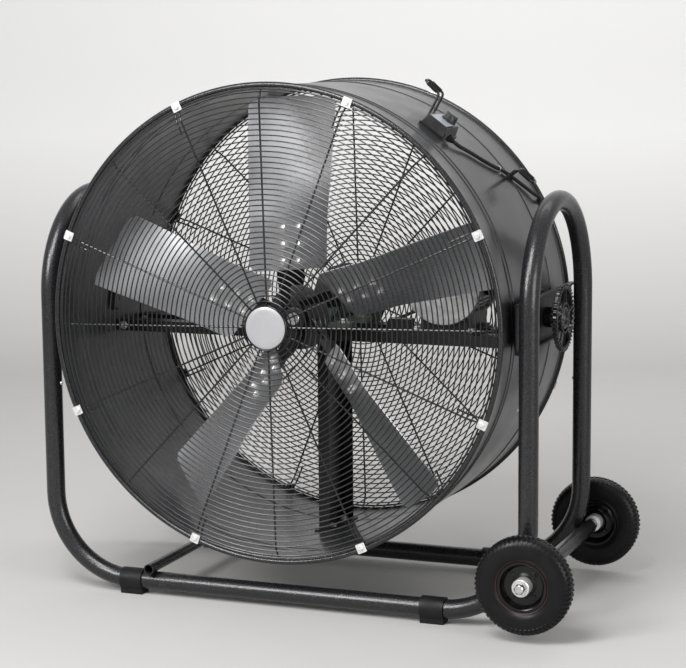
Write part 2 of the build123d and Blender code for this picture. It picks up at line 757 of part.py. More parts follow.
def bar_brackets():
    """Angle brackets behind the bars' ends, seated on the drum's wall."""
    width = 2 * BAR_BOLT_INSET
    height = BAR_HEIGHT - 2 * BAR_WALL - 2 * SEAT
    z = BAR_TOP - BAR_HEIGHT / 2
    with BuildPart() as brackets:
        for side, y in bar_ends():
            start = y + BAR_WALL + SEAT
            with BuildSketch(across(start, side * (bar_bolt_x() + BAR_BOLT_INSET / 2), z - AXIS_Z)):
                Rectangle(width, height)
            extrude(amount=BAR_DEPTH - 2 * BAR_WALL)
            inside = side * (bar_bolt_x() + BAR_BOLT_INSET / 2 - BAR_WALL)
            with BuildSketch(across(start + BAR_WALL, inside, z - AXIS_Z)):
                Rectangle(width, height + 1)
            extrude(amount=BAR_DEPTH, mode=Mode.SUBTRACT)
            with BuildSketch(across(start, side * bar_bolt_x(), z - AXIS_Z)):
                Circle(SUPPORT_BOLT_R + SEAT)
            extrude(amount=BAR_WALL, mode=Mode.SUBTRACT)
        add(drum_solid(INNER_R - SEAT), mode=Mode.INTERSECT)
    save(brackets.part, "bar_brackets")


def support_strut():
    """The upright channel from the drum's floor to the bars, open to the right."""
    floor = AXIS_Z - INNER_R
    top = BAR_BOTTOM - SEAT
    with BuildPart() as strut:
        with BuildSketch(Plane.XY.offset(floor)):
            with Locations((CENTRE_X + STRUT_FLANGE / 2, STRUT_DEPTH / 2)):
                Rectangle(STRUT_FLANGE, STRUT_DEPTH)
            with Locations((CENTRE_X + STRUT_FLANGE / 2 + BAR_WALL, STRUT_DEPTH / 2)):
                Rectangle(STRUT_FLANGE, STRUT_DEPTH - 2 * BAR_WALL, mode=Mode.SUBTRACT)
        extrude(amount=top - floor)
        with BuildSketch(Plane.XY.offset(floor)):
            with Locations((CENTRE_X + STRUT_FLANGE / 2, STRUT_DEPTH / 2)):
                Rectangle(STRUT_FOOT_WIDTH, STRUT_DEPTH)
        extrude(amount=STRUT_FOOT_THICKNESS)
        add(drum_solid(INNER_R - SEAT), mode=Mode.INTERSECT)
        with BuildSketch(Plane.XY.offset(floor)):
            with Locations(*[(CENTRE_X + x, y) for x, y in strut_bolt_places()]):
                Circle(SUPPORT_BOLT_R + SEAT)
        extrude(amount=2 * STRUT_FOOT_THICKNESS, mode=Mode.SUBTRACT)
    save(strut.part, "support_strut")


def hex_bolt(plane, shank, radius, head):
    """A hex bolt whose head stands on the plane and whose shank goes behind it."""
    with BuildPart() as bolt:
        with BuildSketch(plane.offset(SEAT / 2)):
            RegularPolygon(1.8 * radius, 6)
        extrude(amount=head)
        with BuildSketch(plane.offset(SEAT / 2)):
            Circle(radius)
        extrude(amount=-shank)
    return bolt.part


def support_bolts():
    """Bolts that hold the bars to their brackets and the strut's foot to the drum."""
    head = 1.3 * SUPPORT_BOLT_R
    with BuildPart() as bolts:
        for side, y in bar_ends():
            seat = across(y, side * bar_bolt_x(), BAR_TOP - BAR_HEIGHT / 2 - AXIS_Z)
            front = Plane(origin=seat.origin, x_dir=(1, 0, 0), z_dir=(0, -1, 0))
            add(hex_bolt(front, 3 * BAR_WALL, SUPPORT_BOLT_R, head))
        for x, y in strut_bolt_places():
            z = AXIS_Z - INNER_R + STRUT_FOOT_THICKNESS
            seat = Plane(origin=(CENTRE_X + x, y, z), z_dir=(0, 0, 1))
            add(hex_bolt(seat, STRUT_FOOT_THICKNESS + 4 * SHEET, SUPPORT_BOLT_R, head))
    save(bolts.part, "support_bolts")


def bearing(name, y):
    """A pillow-block bearing on one bar, round the fan's shaft."""
    with BuildPart() as block:
        with BuildSketch(across(y - BEARING_WIDTH / 2)):
            Circle(BEARING_R)
            with Locations((0, BEARING_HEIGHT - BEARING_FOOT / 2 - SEAT)):
                Rectangle(BEARING_BASE, BEARING_FOOT)
        extrude(amount=BEARING_WIDTH)
        with BuildSketch(across(y - BEARING_WIDTH / 2 - BEARING_NOSE)):
            Circle(BEARING_NOSE_R)
        extrude(amount=BEARING_WIDTH + 2 * BEARING_NOSE)
        with BuildSketch(across(y - BEARING_WIDTH)):
            Circle(SHAFT_R + FIT)
        extrude(amount=2 * BEARING_WIDTH, mode=Mode.SUBTRACT)
        with BuildSketch(Plane.XY.offset(BAR_TOP)):
            with Locations(*[(CENTRE_X + x, y) for x in (-BEARING_BOLT_X, BEARING_BOLT_X)]):
                Circle(BEARING_BOLT_R + SEAT)
        extrude(amount=2 * BEARING_FOOT, mode=Mode.SUBTRACT)
    save(block.part, name)


def bearing_places():
    """The y of each bearing's middle."""
    return {"bearing_front": BAR_DEPTH / 2, "bearing_rear": REAR_BAR_Y + BAR_DEPTH / 2}


def bearing_bolts():
    """Bolts through the bearings' feet into the bars."""
    with BuildPart() as bolts:
        for y in bearing_places().values():
            for x in (-BEARING_BOLT_X, BEARING_BOLT_X):
                z = BAR_TOP + SEAT + BEARING_FOOT
                seat = Plane(origin=(CENTRE_X + x, y, z), z_dir=(0, 0, 1))
                length = BEARING_FOOT + 3 * BAR_WALL
                add(hex_bolt(seat, length, BEARING_BOLT_R, 1.3 * BEARING_BOLT_R))
    save(bolts.part, "bearing_bolts")


# ---------------------------------------------------------------- rotor
def fan_shaft():
    """The shaft that carries the blades at its front end and the pulley at its rear."""
    with BuildPart() as shaft:
        with BuildSketch(across(SHAFT_FRONT)):
            Circle(SHAFT_R)
        extrude(amount=SHAFT_REAR - SHAFT_FRONT)
        chamfer(shaft.edges().filter_by(GeomType.CIRCLE), length=SHAFT_R / 10)
    save(shaft.part, "fan_shaft")


def blade_directions(pitch):
    """The way a blade that points to +X faces, and the way its chord runs, at one pitch."""
    lean = radians(pitch)
    return Vector(0, -cos(lean), -sin(lean)), Vector(0, -sin(lean), cos(lean))


def blade_plane(radius, pitch, lift):
    """A section plane of a blade that points to +X: x along its chord, y to its front."""
    front, chord = blade_directions(pitch)
    origin = Vector(CENTRE_X + radius, SPIDER_Y, AXIS_Z) + front * lift
    return Plane(origin=origin, x_dir=chord, z_dir=(1, 0, 0))


def blade_bolt_planes(lift):
    """Planes on a blade's front face, one for each bolt through it."""
    front, chord = blade_directions(BLADE_ROOT_PITCH)
    planes = []
    for radius in BLADE_BOLT_RADII:
        for row in (-BLADE_BOLT_ROWS / 2, BLADE_BOLT_ROWS / 2):
            centre = Vector(CENTRE_X + radius, SPIDER_Y, AXIS_Z)
            origin = centre + chord * row + front * lift
            planes.append(Plane(origin=origin, x_dir=(1, 0, 0), z_dir=front))
    return planes


def five_times(piece):
    """Copies of a piece at the angles of the blades."""
    return [piece.rotate(FAN_AXIS, -(BLADE_PHASE + k * 360 / BLADES)) for k in range(BLADES)]


def arm_lift():
    """Height of an arm's middle surface over the line out from the shaft: it lies behind it."""
    return blade_lift() - (SPIDER_THICKNESS + BLADE_THICKNESS) / 2 - SEAT


def hub_spider():
    """The hub with its disc and the five pitched arms that the blades are bolted to."""
    with BuildPart() as arm:
        with BuildSketch(blade_plane(ARM_START_R, BLADE_ROOT_PITCH, arm_lift())):
            Rectangle(ARM_ROOT_WIDTH, SPIDER_THICKNESS)
        extrude(amount=BLADE_ROOT_R - ARM_START_R)
        with BuildSketch(blade_plane(SPIDER_DISC_R, BLADE_ROOT_PITCH, arm_lift())):
            Rectangle(ARM_WIDTH, SPIDER_THICKNESS)
        extrude(amount=ARM_R - SPIDER_DISC_R)
        for plane in blade_bolt_planes(arm_lift() + SPIDER_THICKNESS):
            with BuildSketch(plane):
                Circle(BLADE_BOLT_R + SEAT)
            extrude(amount=-2 * SPIDER_THICKNESS, mode=Mode.SUBTRACT)
    with BuildPart() as hub:
        with BuildSketch(across(SPIDER_DISC_Y - HUB_BOSS_LENGTH / 2)):
            Circle(HUB_BOSS_R)
        extrude(amount=HUB_BOSS_LENGTH)
        with BuildSketch(across(SPIDER_DISC_Y - SPIDER_THICKNESS / 2)):
            Circle(SPIDER_DISC_R)
        extrude(amount=SPIDER_THICKNESS)
        add(five_times(arm.part))
        with BuildSketch(across(SHAFT_FRONT - SHAFT_R)):
            Circle(SHAFT_R + SEAT / 2)
        extrude(amount=SHAFT_REAR - SHAFT_FRONT, mode=Mode.SUBTRACT)
    save(hub.part, "hub_spider")


def blade_lift():
    """Height of a blade's middle surface over the line out from the shaft."""
    return -BLADE_SETBACK


def blade_section(radius, pitch):
    """The sketch of a blade's section at one radius."""
    with BuildSketch(blade_plane(radius, pitch, blade_lift())) as section:
        with Locations((BLADE_SHIFT, 0)):
            Rectangle(BLADE_CHORD, BLADE_THICKNESS)
    return section.sketch


def fan_blades():
    """Five sheet blades: flat where they are bolted on, twisting towards their tips."""
    with BuildPart() as flat:
        root = blade_section(BLADE_ROOT_R, BLADE_ROOT_PITCH)
        extrude(root, amount=BLADE_STRAIGHT_R - BLADE_ROOT_R)
        for plane in blade_bolt_planes(blade_lift() + BLADE_THICKNESS):
            with BuildSketch(plane):
                Circle(BLADE_BOLT_R + SEAT)
            extrude(amount=-2 * BLADE_THICKNESS, mode=Mode.SUBTRACT)
    with BuildPart() as twisted:
        add(blade_section(BLADE_STRAIGHT_R, BLADE_ROOT_PITCH))
        add(blade_section(RING_R, BLADE_TIP_PITCH))
        loft(ruled=True)
        add(drum_solid(BLADE_TIP_R), mode=Mode.INTERSECT)
    with BuildPart() as blades:
        add(five_times(flat.part + twisted.part))
    save(blades.part, "fan_blades")


def blade_bolts():
    """Bolts that hold the blades to the arms, their heads on the blades' front faces."""
    length = BLADE_THICKNESS + SPIDER_THICKNESS + 4 * SEAT
    face = blade_lift() + BLADE_THICKNESS / 2
    with BuildPart() as one:
        for plane in blade_bolt_planes(face):
            add(hex_bolt(plane, length, BLADE_BOLT_R, BLADE_BOLT_R))
            with BuildSketch(plane.offset(-length)):
                RegularPolygon(1.8 * BLADE_BOLT_R, 6)
            extrude(amount=-BLADE_BOLT_R)
    with BuildPart() as bolts:
        add(five_times(one.part))
    save(bolts.part, "blade_bolts")


# ---------------------------------------------------------------- drive
def pulley(x, z, pitch_radius, bore):
    """A grooved pulley in the belt's plane, about an axis at (x, z) from the fan's."""
    start = BELT_Y - PULLEY_WIDTH / 2
    groove = BELT_WIDTH + 2 * CLEAR
    with BuildPart() as wheel_part:
        with BuildSketch(across(start, x, z)):
            Circle(pitch_radius + BELT_DEPTH / 2 + 1)
            Circle(bore, mode=Mode.SUBTRACT)
        extrude(amount=PULLEY_WIDTH)
        with BuildSketch(across(BELT_Y - groove / 2, x, z)):
            Circle(pitch_radius + BELT_DEPTH)
            Circle(pitch_radius - BELT_DEPTH / 2 - CLEAR, mode=Mode.SUBTRACT)
        extrude(amount=groove, mode=Mode.SUBTRACT)
    return wheel_part.part


def pulleys():
    """The large pulley on the fan's shaft, and the small one with the motor's shaft."""
    save(pulley(0, 0, DRIVEN_R, SHAFT_R + SEAT / 2), "driven_pulley")
    save(pulley(MOTOR_X, MOTOR_Z, DRIVER_R, MOTOR_SHAFT_R + SEAT / 2), "motor_pulley")
    with BuildPart() as shaft:
        with BuildSketch(across(MOTOR_FRONT + MOTOR_COVER / 2, MOTOR_X, MOTOR_Z)):
            Circle(MOTOR_SHAFT_R)
        extrude(amount=BELT_Y + PULLEY_WIDTH / 2 - MOTOR_FRONT - MOTOR_COVER / 2)
    save(shaft.part, "motor_shaft")


def drive_belt():
    """The belt, as the closed loop that it makes round the two pulleys."""
    half = BELT_DEPTH / 2
    with BuildPart() as belt:
        with BuildSketch(across(BELT_Y - BELT_WIDTH / 2)):
            Circle(DRIVEN_R + half)
            with Locations((MOTOR_X, -MOTOR_Z)):
                Circle(DRIVER_R + half)
            make_hull()
        extrude(amount=BELT_WIDTH)
        with BuildSketch(across(BELT_Y - BELT_WIDTH / 2)):
            Circle(DRIVEN_R - half)
            with Locations((MOTOR_X, -MOTOR_Z)):
                Circle(DRIVER_R - half)
            make_hull()
        extrude(amount=BELT_WIDTH, mode=Mode.SUBTRACT)
    save(belt.part, "drive_belt")


def motor():
    """The motor: its round case, two end covers, cradle and the base on the bars."""
    case_start = MOTOR_FRONT + MOTOR_COVER
    case_end = MOTOR_FRONT + MOTOR_LENGTH - MOTOR_COVER
    with BuildPart() as case:
        with BuildSketch(across(case_start + SEAT, MOTOR_X, MOTOR_Z)):
            Circle(MOTOR_R)
            Circle(MOTOR_BORE_R, mode=Mode.SUBTRACT)
        extrude(amount=case_end - case_start - 2 * SEAT)
    save(case.part, "motor_case")
    with BuildPart() as covers:
        with BuildSketch(across(MOTOR_FRONT, MOTOR_X, MOTOR_Z)):
            Circle(MOTOR_COVER_R)
        extrude(amount=MOTOR_COVER)
        fillet(covers.edges().sort_by(Axis.Y)[0], radius=MOTOR_COVER_EDGE)
        with BuildSketch(across(case_end, MOTOR_X, MOTOR_Z)):
            Circle(MOTOR_COVER_R)
        extrude(amount=MOTOR_COVER)
        fillet(covers.edges().sort_by(Axis.Y)[-1], radius=MOTOR_COVER_EDGE)
        with BuildSketch(across(MOTOR_FRONT + MOTOR_COVER / 2 - SEAT, MOTOR_X, MOTOR_Z)):
            Circle(MOTOR_SHAFT_R + FIT)
        extrude(amount=MOTOR_LENGTH, mode=Mode.SUBTRACT)
    save(covers.part, "motor_covers")


def motor_base():
    """The folded base on the two bars, with the cradle that holds the motor's case."""
    depth = REAR_BAR_Y + BAR_DEPTH
    x = CENTRE_X + MOTOR_X
    with BuildPart() as base:
        with BuildSketch(Plane.XY.offset(BAR_TOP + SEAT)):
            with Locations((x, depth / 2)):
                Rectangle(2 * MOTOR_BASE_X, depth)
        extrude(amount=MOTOR_BASE_THICKNESS)
        with BuildSketch(Plane.XY.offset(BAR_TOP + SEAT)):
            with Locations(*bar_holes(MOTOR_X, MOTOR_BOLT_X)):
                Circle(SUPPORT_BOLT_R + SEAT)
        extrude(amount=MOTOR_BASE_THICKNESS, mode=Mode.SUBTRACT)
        with BuildSketch(Plane.XY.offset(BAR_TOP + MOTOR_BASE_THICKNESS)):
            with Locations((x, MOTOR_FRONT + MOTOR_LENGTH / 2)):
                Rectangle(2 * MOTOR_CRADLE_X, MOTOR_LENGTH - 2 * MOTOR_COVER - 2 * CLEAR)
        extrude(amount=AXIS_Z + MOTOR_Z - MOTOR_R / 2 - BAR_TOP - MOTOR_BASE_THICKNESS)
        with BuildSketch(across(-MOTOR_LENGTH, MOTOR_X, MOTOR_Z)):
            Circle(MOTOR_R + SEAT)
        extrude(amount=3 * MOTOR_LENGTH, mode=Mode.SUBTRACT)
    save(base.part, "motor_base")
    with BuildPart() as bolts:
        for place in bar_holes(MOTOR_X, MOTOR_BOLT_X):
            z = BAR_TOP + SEAT + MOTOR_BASE_THICKNESS
            seat = Plane(origin=(*place, z), z_dir=(0, 0, 1))
            length = MOTOR_BASE_THICKNESS + 3 * BAR_WALL
            add(hex_bolt(seat, length, SUPPORT_BOLT_R, 1.3 * SUPPORT_BOLT_R))
    save(bolts.part, "motor_bolts")


def belt_tensioner():
    """The block on the front bar whose screw pushes the motor's base along."""
    length, depth, height = TENSIONER
    x = CENTRE_X + TENSIONER_X
    y = BAR_DEPTH / 2
    z = BAR_TOP + SEAT
    reach = MOTOR_X - MOTOR_BASE_X - TENSIONER_X - SEAT
    axis_z = z + MOTOR_BASE_THICKNESS / 2
    with BuildPart() as block:
        with BuildSketch(Plane.XY.offset(z)):
            with Locations((x, y)):
                Rectangle(length, depth)
        extrude(amount=height)
        with BuildSketch(Plane(origin=(x, y, axis_z + TENSION_SCREW_R), z_dir=(1, 0, 0))):
            Circle(TENSION_SCREW_R / 2)
        extrude(amount=reach)
        with BuildSketch(Plane(origin=(x - length / 2, y, z + height / 2), z_dir=(-1, 0, 0))):
            RegularPolygon(1.8 * TENSION_SCREW_R, 6)
        extrude(amount=TENSION_SCREW_R)
    save(block.part, "belt_tensioner")


def terminal_box():
    """The box on the motor's right side where the lead ends."""
    width, depth, height = TERMINAL_BOX
    x = CENTRE_X + MOTOR_X + MOTOR_R
    with BuildPart() as box:
        with BuildSketch(Plane.XY.offset(AXIS_Z + MOTOR_Z - height / 2)):
            with Locations((x + (width - TERMINAL_BOX_SINK) / 2, TERMINAL_BOX_Y)):
                Rectangle(width + TERMINAL_BOX_SINK, depth)
        extrude(amount=height)
        with BuildSketch(across(-MOTOR_LENGTH, MOTOR_X, MOTOR_Z)):
            Circle(MOTOR_R + SEAT)
        extrude(amount=3 * MOTOR_LENGTH, mode=Mode.SUBTRACT)
    save(box.part.solids().sort_by(Axis.X)[-1], "terminal_box")


# ---------------------------------------------------------------- tilting joint
def pivot_plates():
    """Plates riveted to the drum's sides, each with a boss and a hollow trunnion."""
    wide, high = PIVOT_PLATE
    with BuildPart() as plates:
        for side in (-1, 1):
            with BuildSketch(sideways(SHEET_R - PIVOT_PLATE_SINK, 0, PIVOT_Z, side)):
                Rectangle(wide, high)
            extrude(amount=PIVOT_PLATE_SINK + PIVOT_PLATE_THICKNESS)
        add(drum_solid(SHEET_R + SEAT), mode=Mode.SUBTRACT)
        for side in (-1, 1):
            with BuildSketch(sideways(SHEET_R - PIVOT_BOSS_SINK, 0, PIVOT_Z, side)):
                Circle(PIVOT_BOSS_R)
            extrude(amount=CHANNEL_X - CLEAR - SHEET_R + PIVOT_BOSS_SINK)
            with BuildSketch(sideways(CHANNEL_X - 2 * CLEAR, 0, PIVOT_Z, side)):
                Circle(TRUNNION_R)
            extrude(amount=TRUNNION_LENGTH)
            with BuildSketch(sideways(SHEET_R - PIVOT_PLATE_SINK, 0, PIVOT_Z, side)):
                Circle(STUD_R + FIT)
            extrude(amount=2 * PIVOT_PLATE_SINK, mode=Mode.SUBTRACT)
    save(plates.part, "pivot_plates")


def handwheel(place, side):
    """A clamping handwheel: lobed rim, spokes and hub, on a threaded stud."""
    hub_start = CHANNEL_X + CHANNEL_WALL + CLEAR
    hub_length = HANDWHEEL_X + HANDWHEEL_DEPTH / 2 - hub_start
    rim_start = HANDWHEEL_X - HANDWHEEL_DEPTH / 2
    inner = HANDWHEEL_R - HANDWHEEL_RIM
    with BuildPart() as wheel_part:
        with BuildSketch(sideways(rim_start, 0, PIVOT_Z, side)):
            Circle(HANDWHEEL_R)
            Circle(inner, mode=Mode.SUBTRACT)
            with PolarLocations(HANDWHEEL_R, HANDWHEEL_LOBES):
                Circle(LOBE_R, mode=Mode.SUBTRACT)
        extrude(amount=HANDWHEEL_DEPTH)
        with BuildSketch(sideways(rim_start + HANDWHEEL_DEPTH / 4, 0, PIVOT_Z, side)):
            with PolarLocations(inner / 2 + HANDWHEEL_SPOKE_BITE, HANDWHEEL_SPOKES, start_angle=90):
                Rectangle(inner, HANDWHEEL_RIM)
        extrude(amount=HANDWHEEL_DEPTH / 2)
        with BuildSketch(sideways(hub_start, 0, PIVOT_Z, side)):
            Circle(HANDWHEEL_HUB_R)
        extrude(amount=hub_length)
        with BuildSketch(sideways(hub_start, 0, PIVOT_Z, side)):
            Circle(STUD_R + SEAT / 5)
        extrude(amount=hub_length * HANDWHEEL_THREAD, mode=Mode.SUBTRACT)
    save(wheel_part.part, "handwheel_" + place)
    start = SHEET_R - STUD_DEPTH / 3
    with BuildPart() as stud:
        with BuildSketch(sideways(start, 0, PIVOT_Z, side)):
            Circle(STUD_R)
        extrude(amount=hub_start + hub_length * HANDWHEEL_THREAD - SEAT - start)
    save(stud.part, "tilt_stud_" + place)


# ---------------------------------------------------------------- switch, hooks and lead
def switch():
    """The switch box on the drum with its blank plate and its rotary knob."""
    base = on_drum(SWITCH_ANGLE, SWITCH_Y)
    with BuildPart() as box:
        with BuildSketch(base.offset(-SWITCH_SINK)):
            Rectangle(*SWITCH_BASE)
        extrude(amount=SWITCH_SINK + SWITCH_SKIRT)
        with BuildSketch(base.offset(SWITCH_SKIRT)):
            Rectangle(SWITCH_BASE[0] - SWITCH_SKIRT, SWITCH_BASE[1] - SWITCH_SKIRT)
        with BuildSketch(base.offset(SWITCH_HEIGHT)):
            Rectangle(*SWITCH_TOP)
        loft()
        add(drum_solid(SHEET_R + SEAT), mode=Mode.SUBTRACT)
        with BuildSketch(base.offset(SWITCH_HEIGHT - SWITCH_STEM_DEPTH)):
            with Locations(SWITCH_KNOB_SHIFT):
                Circle(SWITCH_STEM_R + FIT)
        extrude(amount=SWITCH_STEM_DEPTH, mode=Mode.SUBTRACT)
    save(box.part, "switch_box")
    with BuildPart() as plate:
        with BuildSketch(base.offset(SWITCH_HEIGHT + SEAT / 2)):
            Rectangle(SWITCH_TOP[0] - SWITCH_MARGIN, SWITCH_TOP[1] - SWITCH_MARGIN)
            with Locations(SWITCH_KNOB_SHIFT):
                Circle(SWITCH_STEM_R + 2 * CLEAR, mode=Mode.SUBTRACT)
        extrude(amount=SWITCH_PLATE_THICKNESS)
    save(plate.part, "switch_plate")
    under = SWITCH_HEIGHT + SWITCH_PLATE_THICKNESS + 2 * CLEAR
    with BuildPart() as knob:
        with BuildSketch(base.offset(under)):
            with Locations(SWITCH_KNOB_SHIFT):
                Circle(SWITCH_KNOB_R)
        extrude(amount=SWITCH_KNOB_HEIGHT)
        with BuildSketch(base.offset(SWITCH_HEIGHT - SWITCH_STEM_DEPTH + CLEAR)):
            with Locations(SWITCH_KNOB_SHIFT):
                Circle(SWITCH_STEM_R)
        extrude(amount=under - SWITCH_HEIGHT + SWITCH_STEM_DEPTH - CLEAR)
    save(knob.part, "switch_knob")


def hook_path(place, towards):
    """Points of one leg of a hook, from the drum out and along its rim."""
    angle, y = place
    base = on_drum(angle, y)
    lift = radians(HOOK_LIFT)
    reach = Vector(towards * HOOK_REACH * cos(lift), 0, HOOK_REACH * sin(lift))
    top = Vector(0, 0, HOOK_RISE)
    return base, [Vector(0, 0, -HOOK_SINK), top, top + reach]


def cord_hooks():
    """Two bent wire hooks that point away from each other, to wind a cord round."""
    with BuildPart() as hooks:
        for place, towards in ((UPPER_HOOK, -1), (LOWER_HOOK, 1)):
            base, (foot, top, tip) = hook_path(place, towards)
            half = Vector(0, HOOK_SPACING / 2, 0)
            local = [foot - half, top - half, tip - half, tip + half, top + half, foot + half]
            points = [base.from_local_coords(point) for point in local]
            with BuildLine() as path:
                FilletPolyline(*points, radius=HOOK_BEND)
            with BuildSketch(Plane(origin=path.line @ 0, z_dir=path.line % 0)):
                Circle(HOOK_WIRE_R)
            sweep(path=path.line)
        add(drum_solid(SHEET_R + SEAT), mode=Mode.SUBTRACT)
    save(hooks.part, "cord_hooks")
    with BuildPart() as sleeves:
        for place, towards in ((UPPER_HOOK, -1), (LOWER_HOOK, 1)):
            base, (foot, top, tip) = hook_path(place, towards)
            along = (tip - top).normalized()
            start = top + along * (HOOK_REACH - SLEEVE_LENGTH) / 2
            for side in (-1, 1):
                local = start + Vector(0, side * HOOK_SPACING / 2, 0)
                origin = base.from_local_coords(local)
                direction = base.from_local_coords(local + along) - origin
                with BuildSketch(Plane(origin=origin, z_dir=direction)):
                    Circle(SLEEVE_R)
                    Circle(HOOK_WIRE_R + SEAT / 2, mode=Mode.SUBTRACT)
                extrude(amount=SLEEVE_LENGTH)
    save(sleeves.part, "hook_sleeves")


def lead_points():
    """The lead's route: from the switch, over the drum, through its wall, to the motor."""
    box_top = AXIS_Z + MOTOR_Z + TERMINAL_BOX[2] / 2
    box_x = CENTRE_X + MOTOR_X + MOTOR_R + TERMINAL_BOX[0] / 2
    route = [around(angle, y, SHEET_R + rise) for angle, y, rise in (LEAD_START, *LEAD_ROUTE)]
    return route + [Vector(box_x + x, y, box_top + rise) for x, y, rise in LEAD_DROP]


def corner_radii(points):
    """An arc for each corner of a route, as large as its two runs allow."""
    radii = []
    for before, corner, after in zip(points, points[1:], points[2:]):
        first = corner - before
        second = after - corner
        turn = radians(first.get_angle(second))
        shorter = min(first.length, second.length)
        radii.append(LEAD_CORNER_SHARE * shorter / tan(turn / 2))
    return radii


def lead_tube(radius):
    """A round tube of a given radius along the lead's route."""
    points = lead_points()
    with BuildPart() as tube:
        with BuildLine() as path:
            FilletPolyline(*points, radius=corner_radii(points))
        with BuildSketch(Plane(origin=path.line @ 0, z_dir=path.line % 0)):
            Circle(radius)
        sweep(path=path.line)
    return tube.part


def motor_lead():
    """The motor's lead, held at the switch, the drum's wall and the motor."""
    save(lead_tube(LEAD_R), "motor_lead")


def lead_glands():
    """The gland at the switch and the grommet in the drum's wall."""
    first, second = lead_points()[:2]
    back = (first - second).normalized()
    with BuildPart() as glands:
        with BuildSketch(Plane(origin=first + back * SEAT, z_dir=back)):
            Circle(GLAND_R * 0.7)
        with BuildSketch(Plane(origin=first + back * GLAND_LENGTH * 0.6, z_dir=back)):
            Circle(GLAND_R)
        loft()
        with BuildSketch(on_drum(GROMMET_ANGLE, GROMMET_Y, INNER_R - GROMMET_LIP)):
            Circle(GROMMET_R)
        extrude(amount=SHEET + 2 * GROMMET_LIP)
        add(lead_tube(LEAD_R + SEAT), mode=Mode.SUBTRACT)
    save(glands.part, "lead_glands")


def build_frame():
    """Everything that stands on the ground, and the wheels."""
    lower_frame("lower_frame_front", -LEG_Y)
    lower_frame("lower_frame_rear", LEG_Y)
    hoop("hoop_left", -1)
    hoop("hoop_right", 1)
    tube_spigots()
    frame_rivets()
    side_channels()
    cross_tube()
    rail_collars()
    axle_tube()
    axle_rod()
    axle_nuts()
    wheel("front", -WHEEL_Y)
    wheel("rear", WHEEL_Y)
    handwheel("left", -1)
    handwheel("right", 1)


def build_drum():
    """The drum with its guards, support, motor, switch and fittings."""
    drum_shell()
    guard("front_guard", DRUM_FRONT, -1)
    guard("rear_guard", DRUM_REAR, 1)
    guard_clips()
    badge()
    crossbars()
    bar_brackets()
    support_strut()
    support_bolts()
    for name, y in bearing_places().items():
        bearing(name, y)
    bearing_bolts()
    motor()
    motor_base()
    belt_tensioner()
    terminal_box()
    drive_belt()
    pivot_plates()
    switch()
    cord_hooks()
    motor_lead()
    lead_glands()


def build_rotor():
    """The fan's rotor and the pulleys."""
    fan_shaft()
    hub_spider()
    fan_blades()
    blade_bolts()
    pulleys()


os.makedirs("parts", exist_ok=True)
print("belt ratio", BELT_RATIO)
build_frame()
build_drum()
build_rotor()
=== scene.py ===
"""A mobile drum fan: a guarded drum tilting between two tube hoops, with two wheels.

All lengths are written in millimetres and turned into metres by MM. The fan's axis runs
along Y and the air leaves towards -Y. Angles round the axis run from +X towards +Z.
"""

import bmesh
import bpy
from math import atan2, cos, degrees, pi, radians, sin, sqrt, tan
from mathutils import Matrix, Vector


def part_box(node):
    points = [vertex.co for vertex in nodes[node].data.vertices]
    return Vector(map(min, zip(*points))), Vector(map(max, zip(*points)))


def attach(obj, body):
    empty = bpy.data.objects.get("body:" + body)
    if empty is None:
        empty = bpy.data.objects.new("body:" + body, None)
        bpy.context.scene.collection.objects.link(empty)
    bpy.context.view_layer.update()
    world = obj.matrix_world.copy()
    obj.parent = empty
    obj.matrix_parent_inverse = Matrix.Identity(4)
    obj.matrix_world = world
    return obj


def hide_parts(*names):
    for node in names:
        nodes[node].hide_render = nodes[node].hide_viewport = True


MM = 0.001
TINY = 1e-6
STEEP = 0.9
FAN_AXIS = Vector((0, 1, 0))
UP = Vector((0, 0, 1))
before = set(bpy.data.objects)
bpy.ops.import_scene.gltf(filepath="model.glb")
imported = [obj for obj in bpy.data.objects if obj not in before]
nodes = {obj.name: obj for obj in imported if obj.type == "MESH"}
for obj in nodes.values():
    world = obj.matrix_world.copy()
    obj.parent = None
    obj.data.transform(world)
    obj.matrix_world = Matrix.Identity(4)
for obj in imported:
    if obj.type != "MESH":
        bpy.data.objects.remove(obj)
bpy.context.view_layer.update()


def node_middle(name, axis):
    """The middle of a node's box along an axis, in mm."""
    low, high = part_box(name)
    return (low[axis] + high[axis]) / 2 / MM


# ---- the photograph's camera ----
VIEW_AZIMUTH = 21.356
VIEW_ELEVATION = 8.159
VIEW_DISTANCE = 4744.8
VIEW_TARGET = (66.4, 0.0, 613.5)
VIEW_FOCAL_PX = 1991.1
VIEW_ROLL = -0.49
PHOTO_WIDTH = 686
SENSOR = 36.0

# ---- sizes shared with the frame ----
CENTRE_X = node_middle("drum_shell", 0)
AXIS_Z = node_middle("fan_shaft", 2)
AXLE_X = node_middle("axle_rod", 0)
AXLE_Z = node_middle("axle_rod", 2)
PIVOT_Z = node_middle("tilt_stud_right", 2)
HALF_SPAN = 592.0
LEG_Y = 232.0
TUBE_R = 22.25
TUBE_WALL = 2.0
RAIL_Z = 33.25
BEND_R = 200.0
SEAM_Z = 424.0
HOOP_TOP = 943.0
RING_R = 550.0
BEAD_R = 6.25
SHEET_R = 541.75
SHEET = 1.5
DRUM_FRONT = -285.0
DRUM_REAR = 271.0
GUARD_PROUD = 16.0
GUARD_FLAT_R = 505.0
GUARD_OUTER_R = 534.3
GUARD_FIRST_R = 48.0
GUARD_PITCH = 12.0
GUARD_WIRE_R = 1.6
SPOKE_WIRE_R = 2.25
SPOKE_INNER_R = 44.0
SPOKES = 16
GUARD_ROLL = 1.5
CLIPS = 8
CLIP_PLACE_R = 540.0
CLIP_PLATE = (22.0, 22.0, 2.0)
SPIDER_Y = -129.0
SPIDER_DISC_Y = -114.0
SPIDER_THICKNESS = 5.0
BLADES = 5
BLADE_PHASE = 16.5
